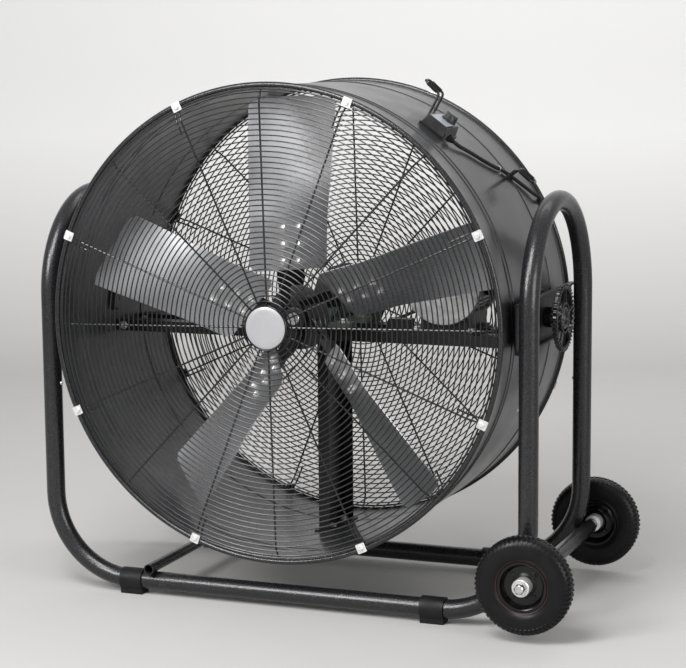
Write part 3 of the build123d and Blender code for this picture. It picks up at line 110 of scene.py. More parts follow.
BLADE_CHORD = 210.0
BLADE_SHIFT = 9.0
BLADE_LIFT = -22.8
BLADE_THICKNESS = 2.5
CAMBER = 11.0
CAMBER_START_R = 225.0
CAMBER_GROWTH = 140.0
BLADE_CORNER = 14.0
BLADE_ROOT_R = 111.0
BLADE_STRAIGHT_R = 232.0
BLADE_TIP_R = 514.0
BLADE_ROOT_PITCH = 54.4
BLADE_TIP_PITCH = 36.4
BLADE_BOLT_RADII = (130.0, 170.0, 210.0)
BLADE_BOLT_ROWS = 42.0
BLADE_BOLT_R = 4.6
BLADE_NUT_R = 4.0
HANDWHEEL_X = 606.0
MOTOR_X = 313.0
MOTOR_Z = 71.0
MOTOR_FRONT = 2.0
BAR_MIDDLES = (22.5, 137.5)
BAR_FRONTS = (0.0, 115.0)
WHEEL_Y = 315.0
SEAT = 0.1
SWITCH_ANGLE = 36.6
SWITCH_Y = -55.0
SWITCH_TOP = 29.6
SWITCH_KNOB_SHIFT = (4.0, 18.0)
SWITCH_KNOB_R = 18.0
KNOB_RIBS = 22
UPPER_HOOK = (28.8, 97.0)
LOWER_HOOK = (54.3, 85.0)
HOOK_SPACING = 31.0
HOOK_RISE = 44.0
HOOK_REACH = 48.0
HOOK_LIFT = 14.0
SLEEVE_LENGTH = 30.0
LEAD_CLIP = (51.4, 74.0)
ARM_LIFT = BLADE_LIFT - (SPIDER_THICKNESS + BLADE_THICKNESS) / 2 - SEAT


# ---- mesh helpers
def vec(x, y, z):
    """A point in metres from millimetres in the row frame."""
    return Vector((x * MM, y * MM, z * MM))


def polar(radius, angle, y):
    """A point round the fan's axis, the angle in degrees from +X towards +Z."""
    turn = radians(angle)
    return vec(CENTRE_X + radius * cos(turn), y, AXIS_Z + radius * sin(turn))


def publish(name, bm, material, body, hides=(), smooth_angle=35.0):
    """Turns a bmesh into a named piece that rides on a body."""
    bmesh.ops.recalc_face_normals(bm, faces=bm.faces)
    mesh = bpy.data.meshes.new(name)
    bm.to_mesh(mesh)
    bm.free()
    mesh.shade_smooth()
    mesh.set_sharp_from_angle(angle=radians(smooth_angle))
    piece = bpy.data.objects.new(name, mesh)
    bpy.context.scene.collection.objects.link(piece)
    piece.data.materials.append(material)
    if hides:
        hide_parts(*hides)
    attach(piece, body)
    return piece


def ring_of(bm, points):
    """Vertices at a list of points."""
    return [bm.verts.new(point) for point in points]


def bridge(bm, first, second):
    """Quads between two closed loops of as many vertices."""
    count = len(first)
    for k in range(count):
        bm.faces.new((first[k], first[(k + 1) % count], second[(k + 1) % count], second[k]))


def upright(direction):
    """The Z direction, or X where the given direction is near Z."""
    return UP if abs(direction.z) < STEEP else Vector((1, 0, 0))


def tube(bm, points, radius, sides=10, closed=False, wall=0.0):
    """A round tube along points, with flat ends, or with an open bore if it has a wall."""
    points = [Vector(p) for p in points]
    count = len(points)
    normal = None
    loops = []
    inner = []
    for k, point in enumerate(points):
        before = points[(k - 1) % count] if closed or k else point
        after = points[(k + 1) % count] if closed or k < count - 1 else point
        along = (after - before).normalized()
        if normal is None:
            normal = along.cross(upright(along)).normalized()
        normal = (normal - along * normal.dot(along)).normalized()
        side = along.cross(normal)
        turns = [2 * pi * s / sides for s in range(sides)]
        rays = [normal * cos(a) + side * sin(a) for a in turns]
        loops.append(ring_of(bm, [point + ray * radius for ray in rays]))
        if wall:
            inner.append(ring_of(bm, [point + ray * (radius - wall) for ray in rays]))
    for k in range(count - 1):
        bridge(bm, loops[k], loops[k + 1])
        if wall:
            bridge(bm, inner[k + 1], inner[k])
    if closed:
        # the frame may have turned on its way round, so the last loop is matched to the first
        start = min(range(sides), key=lambda s: (loops[-1][s].co - loops[0][0].co).length)
        last = loops[-1][start:] + loops[-1][:start]
        bridge(bm, last, loops[0])
    elif wall:
        bridge(bm, inner[0], loops[0])
        bridge(bm, loops[-1], inner[-1])
    else:
        bm.faces.new(list(reversed(loops[0])))
        bm.faces.new(loops[-1])


def circle(centre, axis, radius, count):
    """Points on a circle about a centre, square to an axis."""
    axis = Vector(axis).normalized()
    first = axis.cross(upright(axis)).normalized()
    second = axis.cross(first)
    turns = [2 * pi * k / count for k in range(count)]
    return [centre + (first * cos(a) + second * sin(a)) * radius for a in turns]


def lathe(bm, profile, centre, axis, count=64, closed=True):
    """Turns a profile of (radius, height along the axis) in mm about a centre.

    A closed profile is joined from its end to its start, an open one ends on the axis.
    """
    axis = Vector(axis).normalized()
    loops = []
    for radius, height in profile:
        place = centre + axis * height * MM
        if radius < TINY:
            loops.append([bm.verts.new(place)])
        else:
            loops.append(ring_of(bm, circle(place, axis, radius * MM, count)))
    pairs = list(zip(loops, loops[1:]))
    if closed:
        pairs.append((loops[-1], loops[0]))
    for a, b in pairs:
        if len(a) > 1 and len(b) > 1:
            bridge(bm, a, b)
        elif len(a) + len(b) > 2:
            rim_loop, tip = (a, b[0]) if len(a) > 1 else (b, a[0])
            for k in range(count):
                bm.faces.new((rim_loop[k], rim_loop[(k + 1) % count], tip))


def rounded(points, radius, steps=4):
    """A closed outline with each corner rounded by a radius."""
    result = []
    count = len(points)
    for k in range(count):
        corner = Vector(points[k])
        back = Vector(points[k - 1]) - corner
        ahead = Vector(points[(k + 1) % count]) - corner
        reach = min(radius, 0.45 * back.length, 0.45 * ahead.length)
        first = corner + back.normalized() * reach
        last = corner + ahead.normalized() * reach
        for s in range(steps + 1):
            t = s / steps
            result.append(tuple((1 - t) ** 2 * first + 2 * t * (1 - t) * corner + t * t * last))
    return result


def skin(bm, loops):
    """Walls between closed loops, one after another, and a face over each end."""
    for a, b in zip(loops, loops[1:]):
        bridge(bm, a, b)
    bm.faces.new(list(reversed(loops[0])))
    bm.faces.new(loops[-1])


def prism(bm, outline, matrix, height, soft=0.0):
    """An outline in mm pushed along the matrix's z, its two rims softened by soft mm."""
    levels = [(0.0, 0.0), (height, 0.0)]
    if soft:
        levels = [(0.0, -soft), (soft, 0.0), (height - soft, 0.0), (height, -soft)]
    corners = [Vector(p[:2]) for p in outline]
    centre = Vector((sum(p.x for p in corners), sum(p.y for p in corners))) / len(corners)
    loops = []
    for z, grow in levels:
        loop = []
        for corner in corners:
            away = corner - centre
            q = centre + away * (1 + grow / max(away.length, TINY))
            loop.append(matrix @ Vector((q.x * MM, q.y * MM, z * MM)))
        loops.append(ring_of(bm, loop))
    skin(bm, loops)


def placed(x, y, z, origin):
    """A matrix from three directions and a point."""
    matrix = Matrix((x, y, z)).transposed().to_4x4()
    matrix.translation = origin
    return matrix


def frame_at(origin, normal, along=None):
    """A matrix at a point with z along the normal and x near another direction."""
    z = Vector(normal).normalized()
    if along is None:
        along = (1, 0, 0) if abs(z.x) < STEEP else (0, 1, 0)
    guess = Vector(along)
    x = (guess - z * guess.dot(z)).normalized()
    return placed(x, z.cross(x), z, origin)


def box(bm, matrix, size, soft, corner):
    """A softened block: size in mm along the matrix's axes, standing on its xy plane."""
    w, d, h = size
    outline = rounded([(-w / 2, -d / 2), (w / 2, -d / 2), (w / 2, d / 2), (-w / 2, d / 2)], corner)
    prism(bm, outline, matrix, h, soft)


def hexagon(radius):
    """The corners of a hexagon."""
    return [(radius * cos(pi * k / 3), radius * sin(pi * k / 3)) for k in range(6)]


# a washer of bolt radius 1, as (radius, height in mm), and a head, as (height, scale)
WASHER = ((0, 0), (2.0, 0), (2.1, 0.3), (2.1, 0.9), (1.9, 1.2), (0, 1.2))
WASHER_THICKNESS = 1.2
HEAD = ((0.0, 1.0), (0.9, 1.0), (1.15, 0.86))
HEAD_SIZE = 1.75


def bolt(bm, origin, normal, radius, washer=True):
    """A hex head with a chamfered top, on a washer, at a seat."""
    seat = Vector(origin)
    if washer:
        lathe(bm, [(r * radius, h) for r, h in WASHER], origin, normal, 24, closed=False)
        seat = seat + Vector(normal).normalized() * WASHER_THICKNESS * MM
    matrix = frame_at(seat, normal)
    skin(bm, [ring_of(bm, [matrix @ Vector((x * scale * MM, y * scale * MM, z * radius * MM))
                           for x, y in hexagon(radius * HEAD_SIZE)]) for z, scale in HEAD])


# ---- materials
COAT_ROUGHNESS = 0.12


class Finish:
    """A node material: one shader, with noise for its colour, roughness and bump."""

    def __init__(self, name, colour, rough, metal=0.0, coat=0.0, level=0.5):
        self.material = bpy.data.materials.new(name)
        self.material.use_nodes = True
        self.tree = self.material.node_tree
        self.shader = self.tree.nodes["Principled BSDF"]
        for socket, value in (("Metallic", metal), ("Coat Weight", coat),
                              ("Coat Roughness", COAT_ROUGHNESS), ("Specular IOR Level", level)):
            self.shader.inputs[socket].default_value = value
        self.colour = colour
        self.rough = rough
        self.place = self.tree.nodes.new("ShaderNodeTexCoord").outputs["Object"]

    def node(self, kind, **inputs):
        """A node with some of its inputs set."""
        made = self.tree.nodes.new(kind)
        for key, value in inputs.items():
            made.inputs[key].default_value = value
        return made

    def link(self, source, target):
        """Joins an output to an input."""
        self.tree.links.new(source, target)

    def noise(self, scale, detail=3.0):
        """A noise pattern over the object, its scale in waves per metre."""
        made = self.node("ShaderNodeTexNoise", Scale=scale, Detail=detail, Roughness=0.5)
        self.link(self.place, made.inputs["Vector"])
        return made.outputs["Fac"]

    def ramp(self, source, low, high, start=0.3, end=0.7):
        """Maps a pattern to colours or numbers between two ends."""
        made = self.tree.nodes.new("ShaderNodeValToRGB")
        for stop, place, value in zip(made.color_ramp.elements, (start, end), (low, high)):
            stop.position = place
            stop.color = value if isinstance(value, tuple) else (value, value, value, 1)
        self.link(source, made.inputs["Fac"])
        return made.outputs["Color"]

    def tint(self, pattern, spread):
        """Varies the base colour with a pattern, a little darker and a little lighter."""
        low, high = [(*[min(1.0, c * (1 + side * spread)) for c in self.colour], 1.0)
                     for side in (-1, 1)]
        self.link(self.ramp(pattern, low, high), self.shader.inputs["Base Color"])

    def wear(self, pattern, spread):
        """Varies the roughness with a pattern."""
        low, high = max(0.02, self.rough - spread), min(1.0, self.rough + spread)
        self.link(self.ramp(pattern, low, high), self.shader.inputs["Roughness"])

    def relief(self, pattern, depth_mm, strength):
        """Bumps the surface with a pattern."""
        made = self.node("ShaderNodeBump", Strength=strength, Distance=depth_mm * MM)
        self.link(pattern, made.inputs["Height"])
        self.link(made.outputs["Normal"], self.shader.inputs["Normal"])

    def uneven(self, tint, wear, relief):
        """Noises for colour (spread, noise), roughness (spread, noise), bump (mm, share, noise)."""
        self.tint(self.noise(*tint[1:]), tint[0])
        self.wear(self.noise(*wear[1:]), wear[0])
        self.relief(self.noise(*relief[2:]), *relief[:2])
        return self.material


ENAMEL_DARK = (0.006, 0.006, 0.007, 1.0)
ENAMEL_SPECKLE = (0.05, 0.051, 0.055, 1.0)


def hammered_enamel():
    """Black hammered enamel on the tubes: pale speckles on a dark ground."""
    finish = Finish("hammered_enamel", ENAMEL_DARK[:3], 0.26, metal=0.15, coat=0.12)
    speckle = finish.ramp(finish.noise(620.0, 1.0), ENAMEL_DARK, ENAMEL_SPECKLE, 0.5, 0.8)
    finish.link(speckle, finish.shader.inputs["Base Color"])
    finish.wear(finish.noise(500.0), 0.10)
    finish.relief(finish.noise(420.0, 1.0), 0.5, 0.8)
    return finish.material


def drum_enamel():
    """Glossy speckled powder coat on the drum's sheet."""
    finish = Finish("drum_enamel", (0.042, 0.043, 0.046), 0.33, metal=0.5, coat=0.2)
    return finish.uneven((0.25, 700.0, 2.0), (0.05, 9.0), (0.12, 0.35, 430.0, 3.0))


def plain_coat(name, colour, rough, coat=0.2, grain=260.0, metal=0.0, spread=0.18,
               level=0.5):
    """A thin coat of enamel, slightly uneven."""
    finish = Finish(name, colour, rough, metal=metal, coat=coat, level=level)
    return finish.uneven((spread, 40.0), (0.08, 22.0), (0.1, 0.3, grain))


def bright_metal(name, colour, rough):
    """Plated or ground metal."""
    finish = Finish(name, colour, rough, metal=1.0)
    return finish.uneven((0.12, 90.0), (0.1, 160.0), (0.03, 0.25, 900.0))


def blade_sheet():
    """Satin aluminium sheet."""
    finish = Finish("blade_sheet", (0.80, 0.803, 0.82), 0.33, metal=0.86)
    return finish.uneven((0.05, 5.0, 2.0), (0.03, 9.0, 2.0), (0.004, 0.1, 1500.0))


def rubber(name, colour, rough, depth=0.15):
    """Moulded rubber with a fine dusty grain."""
    finish = Finish(name, colour, rough, level=0.2)
    return finish.uneven((0.3, 30.0, 4.0), (0.09, 35.0), (depth, 0.5, 420.0, 4.0))


def plastic(name, colour, rough):
    """Moulded plastic with a fine spark-eroded grain."""
    finish = Finish(name, colour, rough, level=0.45)
    return finish.uneven((0.1, 25.0), (0.06, 30.0), (0.06, 0.4, 800.0, 2.0))


def cast(name, colour, rough, metal=0.0):
    """Sand-cast metal with a rough skin."""
    finish = Finish(name, colour, rough, metal=metal)
    return finish.uneven((0.25, 60.0, 6.0), (0.1, 50.0), (0.25, 0.5, 420.0, 6.0))


ENAMEL = hammered_enamel()
DRUM = drum_enamel()
WIRE = plain_coat("guard_wire_coat", (0.014, 0.0144, 0.0155), 0.28, coat=0.1, metal=0.3)
BLACK_ENAMEL = plain_coat("rim_black", (0.003, 0.003, 0.003), 0.16, coat=0.1, level=0.3)
BRACKET = plain_coat("bracket_coat", (0.006, 0.006, 0.0066), 0.42, coat=0.0, level=0.35)
ZINC = plain_coat("zinc_plate", (0.74, 0.74, 0.73), 0.34, coat=0.0, grain=900.0, metal=0.7)
STEEL = bright_metal("ground_steel", (0.6, 0.6, 0.59), 0.25)
SILVER = plain_coat("badge_silver", (0.35, 0.35, 0.36), 0.38, coat=0.1, grain=1500.0,
                    metal=0.3, spread=0.02)
BLADE = blade_sheet()
TYRE = rubber("tyre_rubber", (0.0045, 0.0045, 0.0048), 0.36)
FOOT = rubber("foot_rubber", (0.008, 0.008, 0.009), 0.5)
BELT = rubber("belt_rubber", (0.016, 0.016, 0.016), 0.7)
LEAD = rubber("lead_sheath", (0.015, 0.015, 0.016), 0.4, depth=0.05)
BLACK = plastic("black_plastic", (0.005, 0.005, 0.0055), 0.24)
LABEL = plastic("switch_film", (0.30, 0.33, 0.37), 0.35)
BEARING = cast("bearing_cast_iron", (0.13, 0.155, 0.135), 0.5, metal=0.3)
PULLEY = cast("pulley_cast_iron", (0.05, 0.05, 0.052), 0.5, metal=0.4)
COVER = cast("motor_cover_cast", (0.50, 0.50, 0.50), 0.4, metal=0.3)
MOTOR = plain_coat("motor_enamel", (0.03, 0.03, 0.032), 0.4)
RED_LINE = plastic("rim_line", (0.05, 0.008, 0.007), 0.5)


# ---- frame tubes
BEND_STEPS = 20


def bend_points(corner, before, after, radius):
    """Points on the arc that rounds a corner."""
    corner = Vector(corner)
    into = (corner - Vector(before)).normalized()
    out = (Vector(after) - corner).normalized()
    turn = into.angle(out)
    reach = radius * tan(turn / 2)
    start = corner - into * reach
    centre = start + (out - into * into.dot(out)).normalized() * radius
    arm = start - centre
    axis = into.cross(out).normalized()
    return [centre + Matrix.Rotation(turn * k / BEND_STEPS, 3, axis) @ arm
            for k in range(BEND_STEPS + 1)]


def frame_tube(name, points):
    """A bent tube of the frame, open at both ends."""
    bm = bmesh.new()
    tube(bm, points, TUBE_R * MM, 40, wall=TUBE_WALL * MM)
    publish(name + "_tube", bm, ENAMEL, "frame", [name])


def lower_frame(name, y):
    """One ground rail with its two bends and legs."""
    corners = [vec(CENTRE_X + side * HALF_SPAN, y, z)
               for side, z in ((-1, SEAM_Z), (-1, RAIL_Z), (1, RAIL_Z), (1, SEAM_Z))]
    points = [corners[0]]
    points += bend_points(corners[1], corners[0], corners[2], BEND_R * MM)
    points += bend_points(corners[2], corners[1], corners[3], BEND_R * MM)
    points.append(corners[3])
    frame_tube(name, points)


ARCH_STEPS = 60


def hoop(name, side):
    """One arch over the side of the fan."""
    x = CENTRE_X + side * HALF_SPAN
    arch_z = HOOP_TOP - LEG_Y
    turns = [pi * k / ARCH_STEPS for k in range(ARCH_STEPS + 1)]
    points = [vec(x, -LEG_Y, SEAM_Z + SEAT)]
    points += [vec(x, -LEG_Y * cos(turn), arch_z + LEG_Y * sin(turn)) for turn in turns]
    points.append(vec(x, LEG_Y, SEAM_Z + SEAT))
    frame_tube(name, points)


def build_frame():
    """Both ground rails and both hoops."""
    lower_frame("lower_frame_front", -LEG_Y)
    lower_frame("lower_frame_rear", LEG_Y)
    hoop("hoop_left", -1)
    hoop("hoop_right", 1)


# ---- wheels
# profiles are (radius, distance from the wheel's middle plane, + towards its outside)
CARCASS = ((54.1, -17.7), (57.3, -18.7), (61, -22.6), (66, -25.6), (74, -27.4), (84, -27.8),
           (93, -26.4), (99.6, -24.0), (104.6, -19.2), (107.2, -12), (107.8, 0))
TREAD_LUGS = 60
LUG_PITCH = 2 * pi / TREAD_LUGS
LUG_HALF = 0.27 * LUG_PITCH
LUG_TAPER = 0.85
LUG_SINK = (3.0, 1.5)
# radius, distance from the middle plane, slant in half pitches
LUG_PATH = ((109.6, 5.0, 0.7), (109.2, 13.0, 0.4), (106.2, 20.4, 0.0), (100.6, 25.0, -0.1),
            (94.0, 27.1, -0.1))
BLOCK_HALF = 0.2 * LUG_PITCH
BLOCK_LEVELS = ((104.0, 1.0), (109.4, 0.85))
BLOCK_CORNERS = ((-1, -4.0), (1, -3.0), (1, 4.0), (-1, 3.0))
RIM_PROFILE = (
    (20.1, 3.0), (24, 3.2), (27, 5.0), (31, 5.4), (40, 5.4), (43, 5.2), (46, 8.5), (48.6, 15.0),
    (50.2, 19.4), (53.0, 20.9), (56.2, 20.9), (57.0, 19.8), (56.4, 19.0), (54.0, 18.0),
    (54.0, -18.0), (56.4, -19.0), (57.0, -19.8), (56.2, -20.9), (53.0, -20.9), (50.2, -19.4),
    (48.6, -12.0), (46, -4.0), (43, 1.5), (40, 2.6), (31, 2.6), (27, 0.5), (24, -2.4),
    (20.1, -3.0))
RIM_BOLTS = 4
RIM_BOLT_CIRCLE = 34.0
RIM_BOLT_R = 3.0
RIM_OUTSIDE = 5.4
RIM_INSIDE = 2.6
LINE_PROFILE = ((58.4, 19.7), (59.6, 19.9), (59.6, 21.4), (58.4, 20.9))
HUB_PROFILE = ((10.2, -31), (17.5, -31), (19.4, -30.2), (20, -29), (20, 29), (19.4, 30.2),
               (18.4, 31), (16.4, 31), (15.8, 29.6), (11.6, 29.6), (11.0, 30.6), (10.2, 30.6))


def tyre(place, y):
    """A tyre with a rounded carcass, slanted shoulder lugs and small blocks between them."""
    centre = vec(AXLE_X, y, AXLE_Z)
    profile = list(CARCASS) + [(r, -h) for r, h in reversed(CARCASS[:-1])]
    bm = bmesh.new()
    lathe(bm, profile, centre, FAN_AXIS, 120)
    for step in range(TREAD_LUGS):
        for side, shift in ((-1, 0.0), (1, 0.5)):
            lug(bm, centre, LUG_PITCH * (step + shift), side)
        tread_block(bm, centre, LUG_PITCH * (step + 0.25))
    publish("tyre_" + place + "_treaded", bm, TYRE, "wheel_" + place, ["tyre_" + place])


def wheel_point(centre, radius, turn, y):
    """A point on a wheel, from its centre, in mm and radians."""
    return centre + Vector((radius * cos(turn), y, radius * sin(turn))) * MM


def lug(bm, centre, turn, side):
    """One shoulder lug, from the tread's edge down the side wall."""
    rows = []
    for radius, y, slant in LUG_PATH:
        middle = turn + slant * LUG_PITCH / 2
        foot = [wheel_point(centre, radius - LUG_SINK[0], middle + s * LUG_HALF,
                            side * (y - LUG_SINK[1])) for s in (-1, 1)]
        top = [wheel_point(centre, radius, middle + s * LUG_HALF * LUG_TAPER, side * y)
               for s in (-1, 1)]
        rows.append(ring_of(bm, [foot[0], top[0], top[1], foot[1]]))
    skin(bm, rows)


def tread_block(bm, centre, turn):
    """One small block on the tread's middle."""
    skin(bm, [ring_of(bm, [wheel_point(centre, radius, turn + side * BLOCK_HALF * scale, y * scale)
                           for side, y in BLOCK_CORNERS]) for radius, scale in BLOCK_LEVELS])


def rim(place, y, out):
    """The pressed dish with its flanges, its bolts and the fine line on the tyre round it."""
    centre = vec(AXLE_X, y, AXLE_Z)
    axis = FAN_AXIS * out
    body = "wheel_" + place
    bm = bmesh.new()
    lathe(bm, RIM_PROFILE, centre, axis, 96)
    publish("rim_" + place + "_pressed", bm, BLACK_ENAMEL, body, ["rim_" + place])
    bm = bmesh.new()
    for k in range(RIM_BOLTS):
        turn = pi / 4 + k * 2 * pi / RIM_BOLTS
        head = wheel_point(centre, RIM_BOLT_CIRCLE, turn, out * RIM_OUTSIDE)
        nut = wheel_point(centre, RIM_BOLT_CIRCLE, turn, out * RIM_INSIDE)
        bolt(bm, head, axis, RIM_BOLT_R)
        bolt(bm, nut, -axis, RIM_BOLT_R, washer=False)
    publish("rim_bolts_" + place + "_hex", bm, BLACK_ENAMEL, body, ["rim_bolts_" + place])
    bm = bmesh.new()
    lathe(bm, LINE_PROFILE, centre, axis, 96)
    publish("rim_line_" + place, bm, RED_LINE, body)


def hub(place, y, out):
    """The hub: a plated sleeve with a stepped end and a bearing seal."""
    bm = bmesh.new()
    lathe(bm, HUB_PROFILE, vec(AXLE_X, y, AXLE_Z), FAN_AXIS * out, 56)
    publish("hub_" + place + "_sleeve", bm, ZINC, "wheel_" + place, ["hub_" + place])


def build_wheels():
    """Both wheels, each with its outside away from the frame."""
    for place, y, out in (("front", -WHEEL_Y, -1), ("rear", WHEEL_Y, 1)):
        tyre(place, y)
        rim(place, y, out)
        hub(place, y, out)


# ---- drum
# a rib's section is (shift along the axis, rise), the dark rear band's (distance from the rear,
# rise); that band is painted shade, a dark ring where the sheet lies in shade by the rear rim
RIB_SHARES = (0.17, 0.21, 0.75)
RIB_SECTION = ((-3.4, 0.0), (-1.9, 1.5), (0.0, 2.0), (1.9, 1.5), (3.4, 0.0))
EDGE_RISE = 1.2
FRONT_EDGE = (8, 14)
REAR_EDGE = (70, 10)
# the dark ring before the rear rim: painted shade, not a part of the drum
REAR_SHADE_BAND = ((24, 0.2), (23, 1.6), (8, 1.6), (3, 4.0), (3, 0.2))
DRUM_SIDES = 220


def bead_point(radius, turn):
    """A point round a rolled rim's section, as (radius from the fan's axis, shift along it)."""
    return RING_R - BEAD_R + radius * cos(turn), radius * sin(turn)


def drum_shell():
    """The rolled sheet with its stiffening ribs, the rolled rims and a dark band of painted shade
    before the rear rim.
    """
    outer = [(SHEET_R + EDGE_RISE, DRUM_FRONT + FRONT_EDGE[0]),
             (SHEET_R, DRUM_FRONT + FRONT_EDGE[1])]
    for share in RIB_SHARES:
        y = DRUM_FRONT + share * (DRUM_REAR - DRUM_FRONT)
        outer += [(SHEET_R + rise, y + shift) for shift, rise in RIB_SECTION]
    outer += [(SHEET_R, DRUM_REAR - REAR_EDGE[0]), (SHEET_R + EDGE_RISE, DRUM_REAR - REAR_EDGE[1])]
    inner = [(r - SHEET, y) for r, y in reversed(outer)]
    centre = vec(CENTRE_X, 0, AXIS_Z)
    bm = bmesh.new()
    lathe(bm, outer + inner, centre, FAN_AXIS, DRUM_SIDES)
    publish("drum_shell_rolled", bm, DRUM, "drum", ["drum_shell"])
    bm = bmesh.new()
    for rim_y in (DRUM_FRONT, DRUM_REAR):
        roll = [bead_point(BEAD_R, radians(a)) for a in range(0, 360, 20)]
        lathe(bm, [(r, rim_y + shift) for r, shift in roll], centre, FAN_AXIS, DRUM_SIDES)
    # a dark enamel ring laid on the sheet before the rear rim, painted shade
    shade_band = [(SHEET_R + rise, DRUM_REAR - back) for back, rise in REAR_SHADE_BAND]
    lathe(bm, shade_band, centre, FAN_AXIS, DRUM_SIDES)
    publish("drum_beads_and_shade_band", bm, ENAMEL, "drum")


# sides of a guard's ring by the radius that it stays under
GUARD_SIDES = ((150, 48), (330, 96), (RING_R, 144))
GUARD_EDGE_SIDES = 180
RING_WIRE_SIDES = 6
SPOKE_WIRE_SIDES = 8
GUARD_CURVE = 1.35
SPOKE_BENDS = 5
SPOKE_BITE = 0.92
CLIP_SPOKE_SHIFT = 11.0
CLIP_SPOKE_REACH = 58.0
CLIP_SPOKE_BEND = 15.0


def clip_angles():
    """The clips' angles round the fan's axis."""
    return [(index + 0.5) * 360 / CLIPS + GUARD_ROLL for index in range(CLIPS)]


def guard(name, rim_y, side):
    """A wire guard: round rings welded on radial wires, bent back to the rim."""
    flat_y = rim_y + side * GUARD_PROUD
    edge_y = rim_y + side * GUARD_WIRE_R
    behind = -side * (GUARD_WIRE_R + SPOKE_WIRE_R) * SPOKE_BITE
    bent = GUARD_OUTER_R - GUARD_FLAT_R
    bm = bmesh.new()

    def height(radius):
        bend = max(0.0, radius - GUARD_FLAT_R) / bent
        return flat_y + (edge_y - flat_y) * bend ** GUARD_CURVE

    def ring(radius, y, wire_r, count, sides):
        points = circle(vec(CENTRE_X, y, AXIS_Z), FAN_AXIS, radius * MM, count)
        tube(bm, points, wire_r * MM, sides, closed=True)

    def spoke(reach, angle, shift=0.0):
        turn = radians(angle)
        sidestep = Vector((-sin(turn), 0, cos(turn))) * shift * MM
        points = [polar(r, angle, height(r) + behind) + sidestep for r in reach]
        tube(bm, points, SPOKE_WIRE_R * MM, SPOKE_WIRE_SIDES)

    radius = GUARD_FIRST_R
    while radius < GUARD_OUTER_R - 2:
        count = next(sides for limit, sides in GUARD_SIDES if radius < limit)
        ring(radius, height(radius), GUARD_WIRE_R, count, RING_WIRE_SIDES)
        radius += GUARD_PITCH
    ring(GUARD_OUTER_R, edge_y, SPOKE_WIRE_R, GUARD_EDGE_SIDES, SPOKE_WIRE_SIDES)
    reach = [SPOKE_INNER_R, GUARD_FLAT_R - 6]
    reach += [GUARD_FLAT_R + bent * k / SPOKE_BENDS for k in range(SPOKE_BENDS + 1)]
    for step in range(SPOKES):
        spoke(reach, GUARD_ROLL + step * 360 / SPOKES)
    reach = [GUARD_OUTER_R - CLIP_SPOKE_REACH, GUARD_FLAT_R, GUARD_FLAT_R + CLIP_SPOKE_BEND,
             GUARD_OUTER_R]
    for angle in clip_angles():
        spoke(reach, angle, CLIP_SPOKE_SHIFT)
    publish(name + "_wires", bm, WIRE, "drum", [name])


CLIP_WRAP = (80, 60, 40, 20)
CLIP_GAP = 0.9
CLIP_HALF = 9.5
CLIP_SHEET = 0.8
CLIP_SCREW_R = 3.2


def clips():
    """Folded zinc clips over the rolled rims, each with a screw."""
    plates = bmesh.new()
    screws = bmesh.new()
    for rim_y, side in ((DRUM_FRONT, -1), (DRUM_REAR, 1)):
        out = FAN_AXIS * side
        seat = rim_y + side * (BEAD_R + SEAT)
        for angle in clip_angles():
            turn = radians(angle)
            radial = Vector((cos(turn), 0, sin(turn)))
            flat = frame_at(polar(CLIP_PLACE_R, angle, seat), out, radial)
            box(plates, flat, CLIP_PLATE, 0.5, 2.5)
            wrap = [bead_point(BEAD_R + CLIP_GAP, radians(a)) for a in CLIP_WRAP]
            path = [polar(r, angle, rim_y + side * shift) for r, shift in wrap]
            strip(plates, path, radial.cross(FAN_AXIS) * CLIP_HALF * MM, CLIP_SHEET)
            head = polar(CLIP_PLACE_R - 1, angle, seat + side * CLIP_PLATE[2])
            bolt(screws, head, out, CLIP_SCREW_R)
    publish("guard_clips_folded", plates, ZINC, "drum", ["guard_clips"])
    publish("clip_screws_hex", screws, ZINC, "drum", ["clip_screws"])


def strip(bm, path, half_width, thickness):
    """A thin strip of sheet along a path, to both sides of it."""
    rows = []
    count = len(path)
    for k, point in enumerate(path):
        along = (path[min(k + 1, count - 1)] - path[max(k - 1, 0)]).normalized()
        normal = along.cross(half_width).normalized() * thickness * MM / 2
        rows.append(ring_of(bm, [point - half_width - normal, point + half_width - normal,
                                 point + half_width + normal, point - half_width + normal]))
    skin(bm, rows)


HOLDER_PROFILE = ((0, 0), (50.5, 0), (52.3, 1.2), (52.5, 3), (52.5, 5.4), (51.6, 7.2), (50.2, 8),
                  (48.6, 7.6), (48.1, 6.4), (47.2, 6.0), (0, 6.0))
DISC_PROFILE = ((0, 6.1), (47.6, 6.1), (47.9, 6.5), (47.7, 7.2), (46.2, 7.9), (38, 8.4),
                (20, 8.8), (0, 9.0))


def badge():
    """The blank silver disc in its black ring."""
    centre = vec(CENTRE_X, DRUM_FRONT - GUARD_PROUD - GUARD_WIRE_R - SEAT, AXIS_Z)
    bm = bmesh.new()
    lathe(bm, HOLDER_PROFILE, centre, -FAN_AXIS, 96, closed=False)
    publish("badge_holder_ring", bm, BLACK, "drum", ["badge_holder"])
    bm = bmesh.new()
    lathe(bm, DISC_PROFILE, centre, -FAN_AXIS, 96, closed=False)
    publish("badge_plate_domed", bm, SILVER, "drum", ["badge_plate"])


# ---- rotor
def blade_axes(pitch, angle):
    """Chord, front and radial directions of a blade section at an angle round the axis."""
    lean = radians(pitch)
    turn = Matrix.Rotation(-radians(angle), 3, "Y")
    chord = turn @ Vector((0, -sin(lean), cos(lean)))
    front = turn @ Vector((0, -cos(lean), -sin(lean)))
    radial = turn @ Vector((1, 0, 0))
    return chord, front, radial


def blade_pitch(radius):
    """The pitch of the ruled surface between the flat root and the rim."""
    share = max(0.0, (radius - BLADE_STRAIGHT_R) / (RING_R - BLADE_STRAIGHT_R))
    a = radians(BLADE_ROOT_PITCH)
    b = radians(BLADE_TIP_PITCH)
    return degrees(atan2(sin(a) + (sin(b) - sin(a)) * share, cos(a) + (cos(b) - cos(a)) * share))


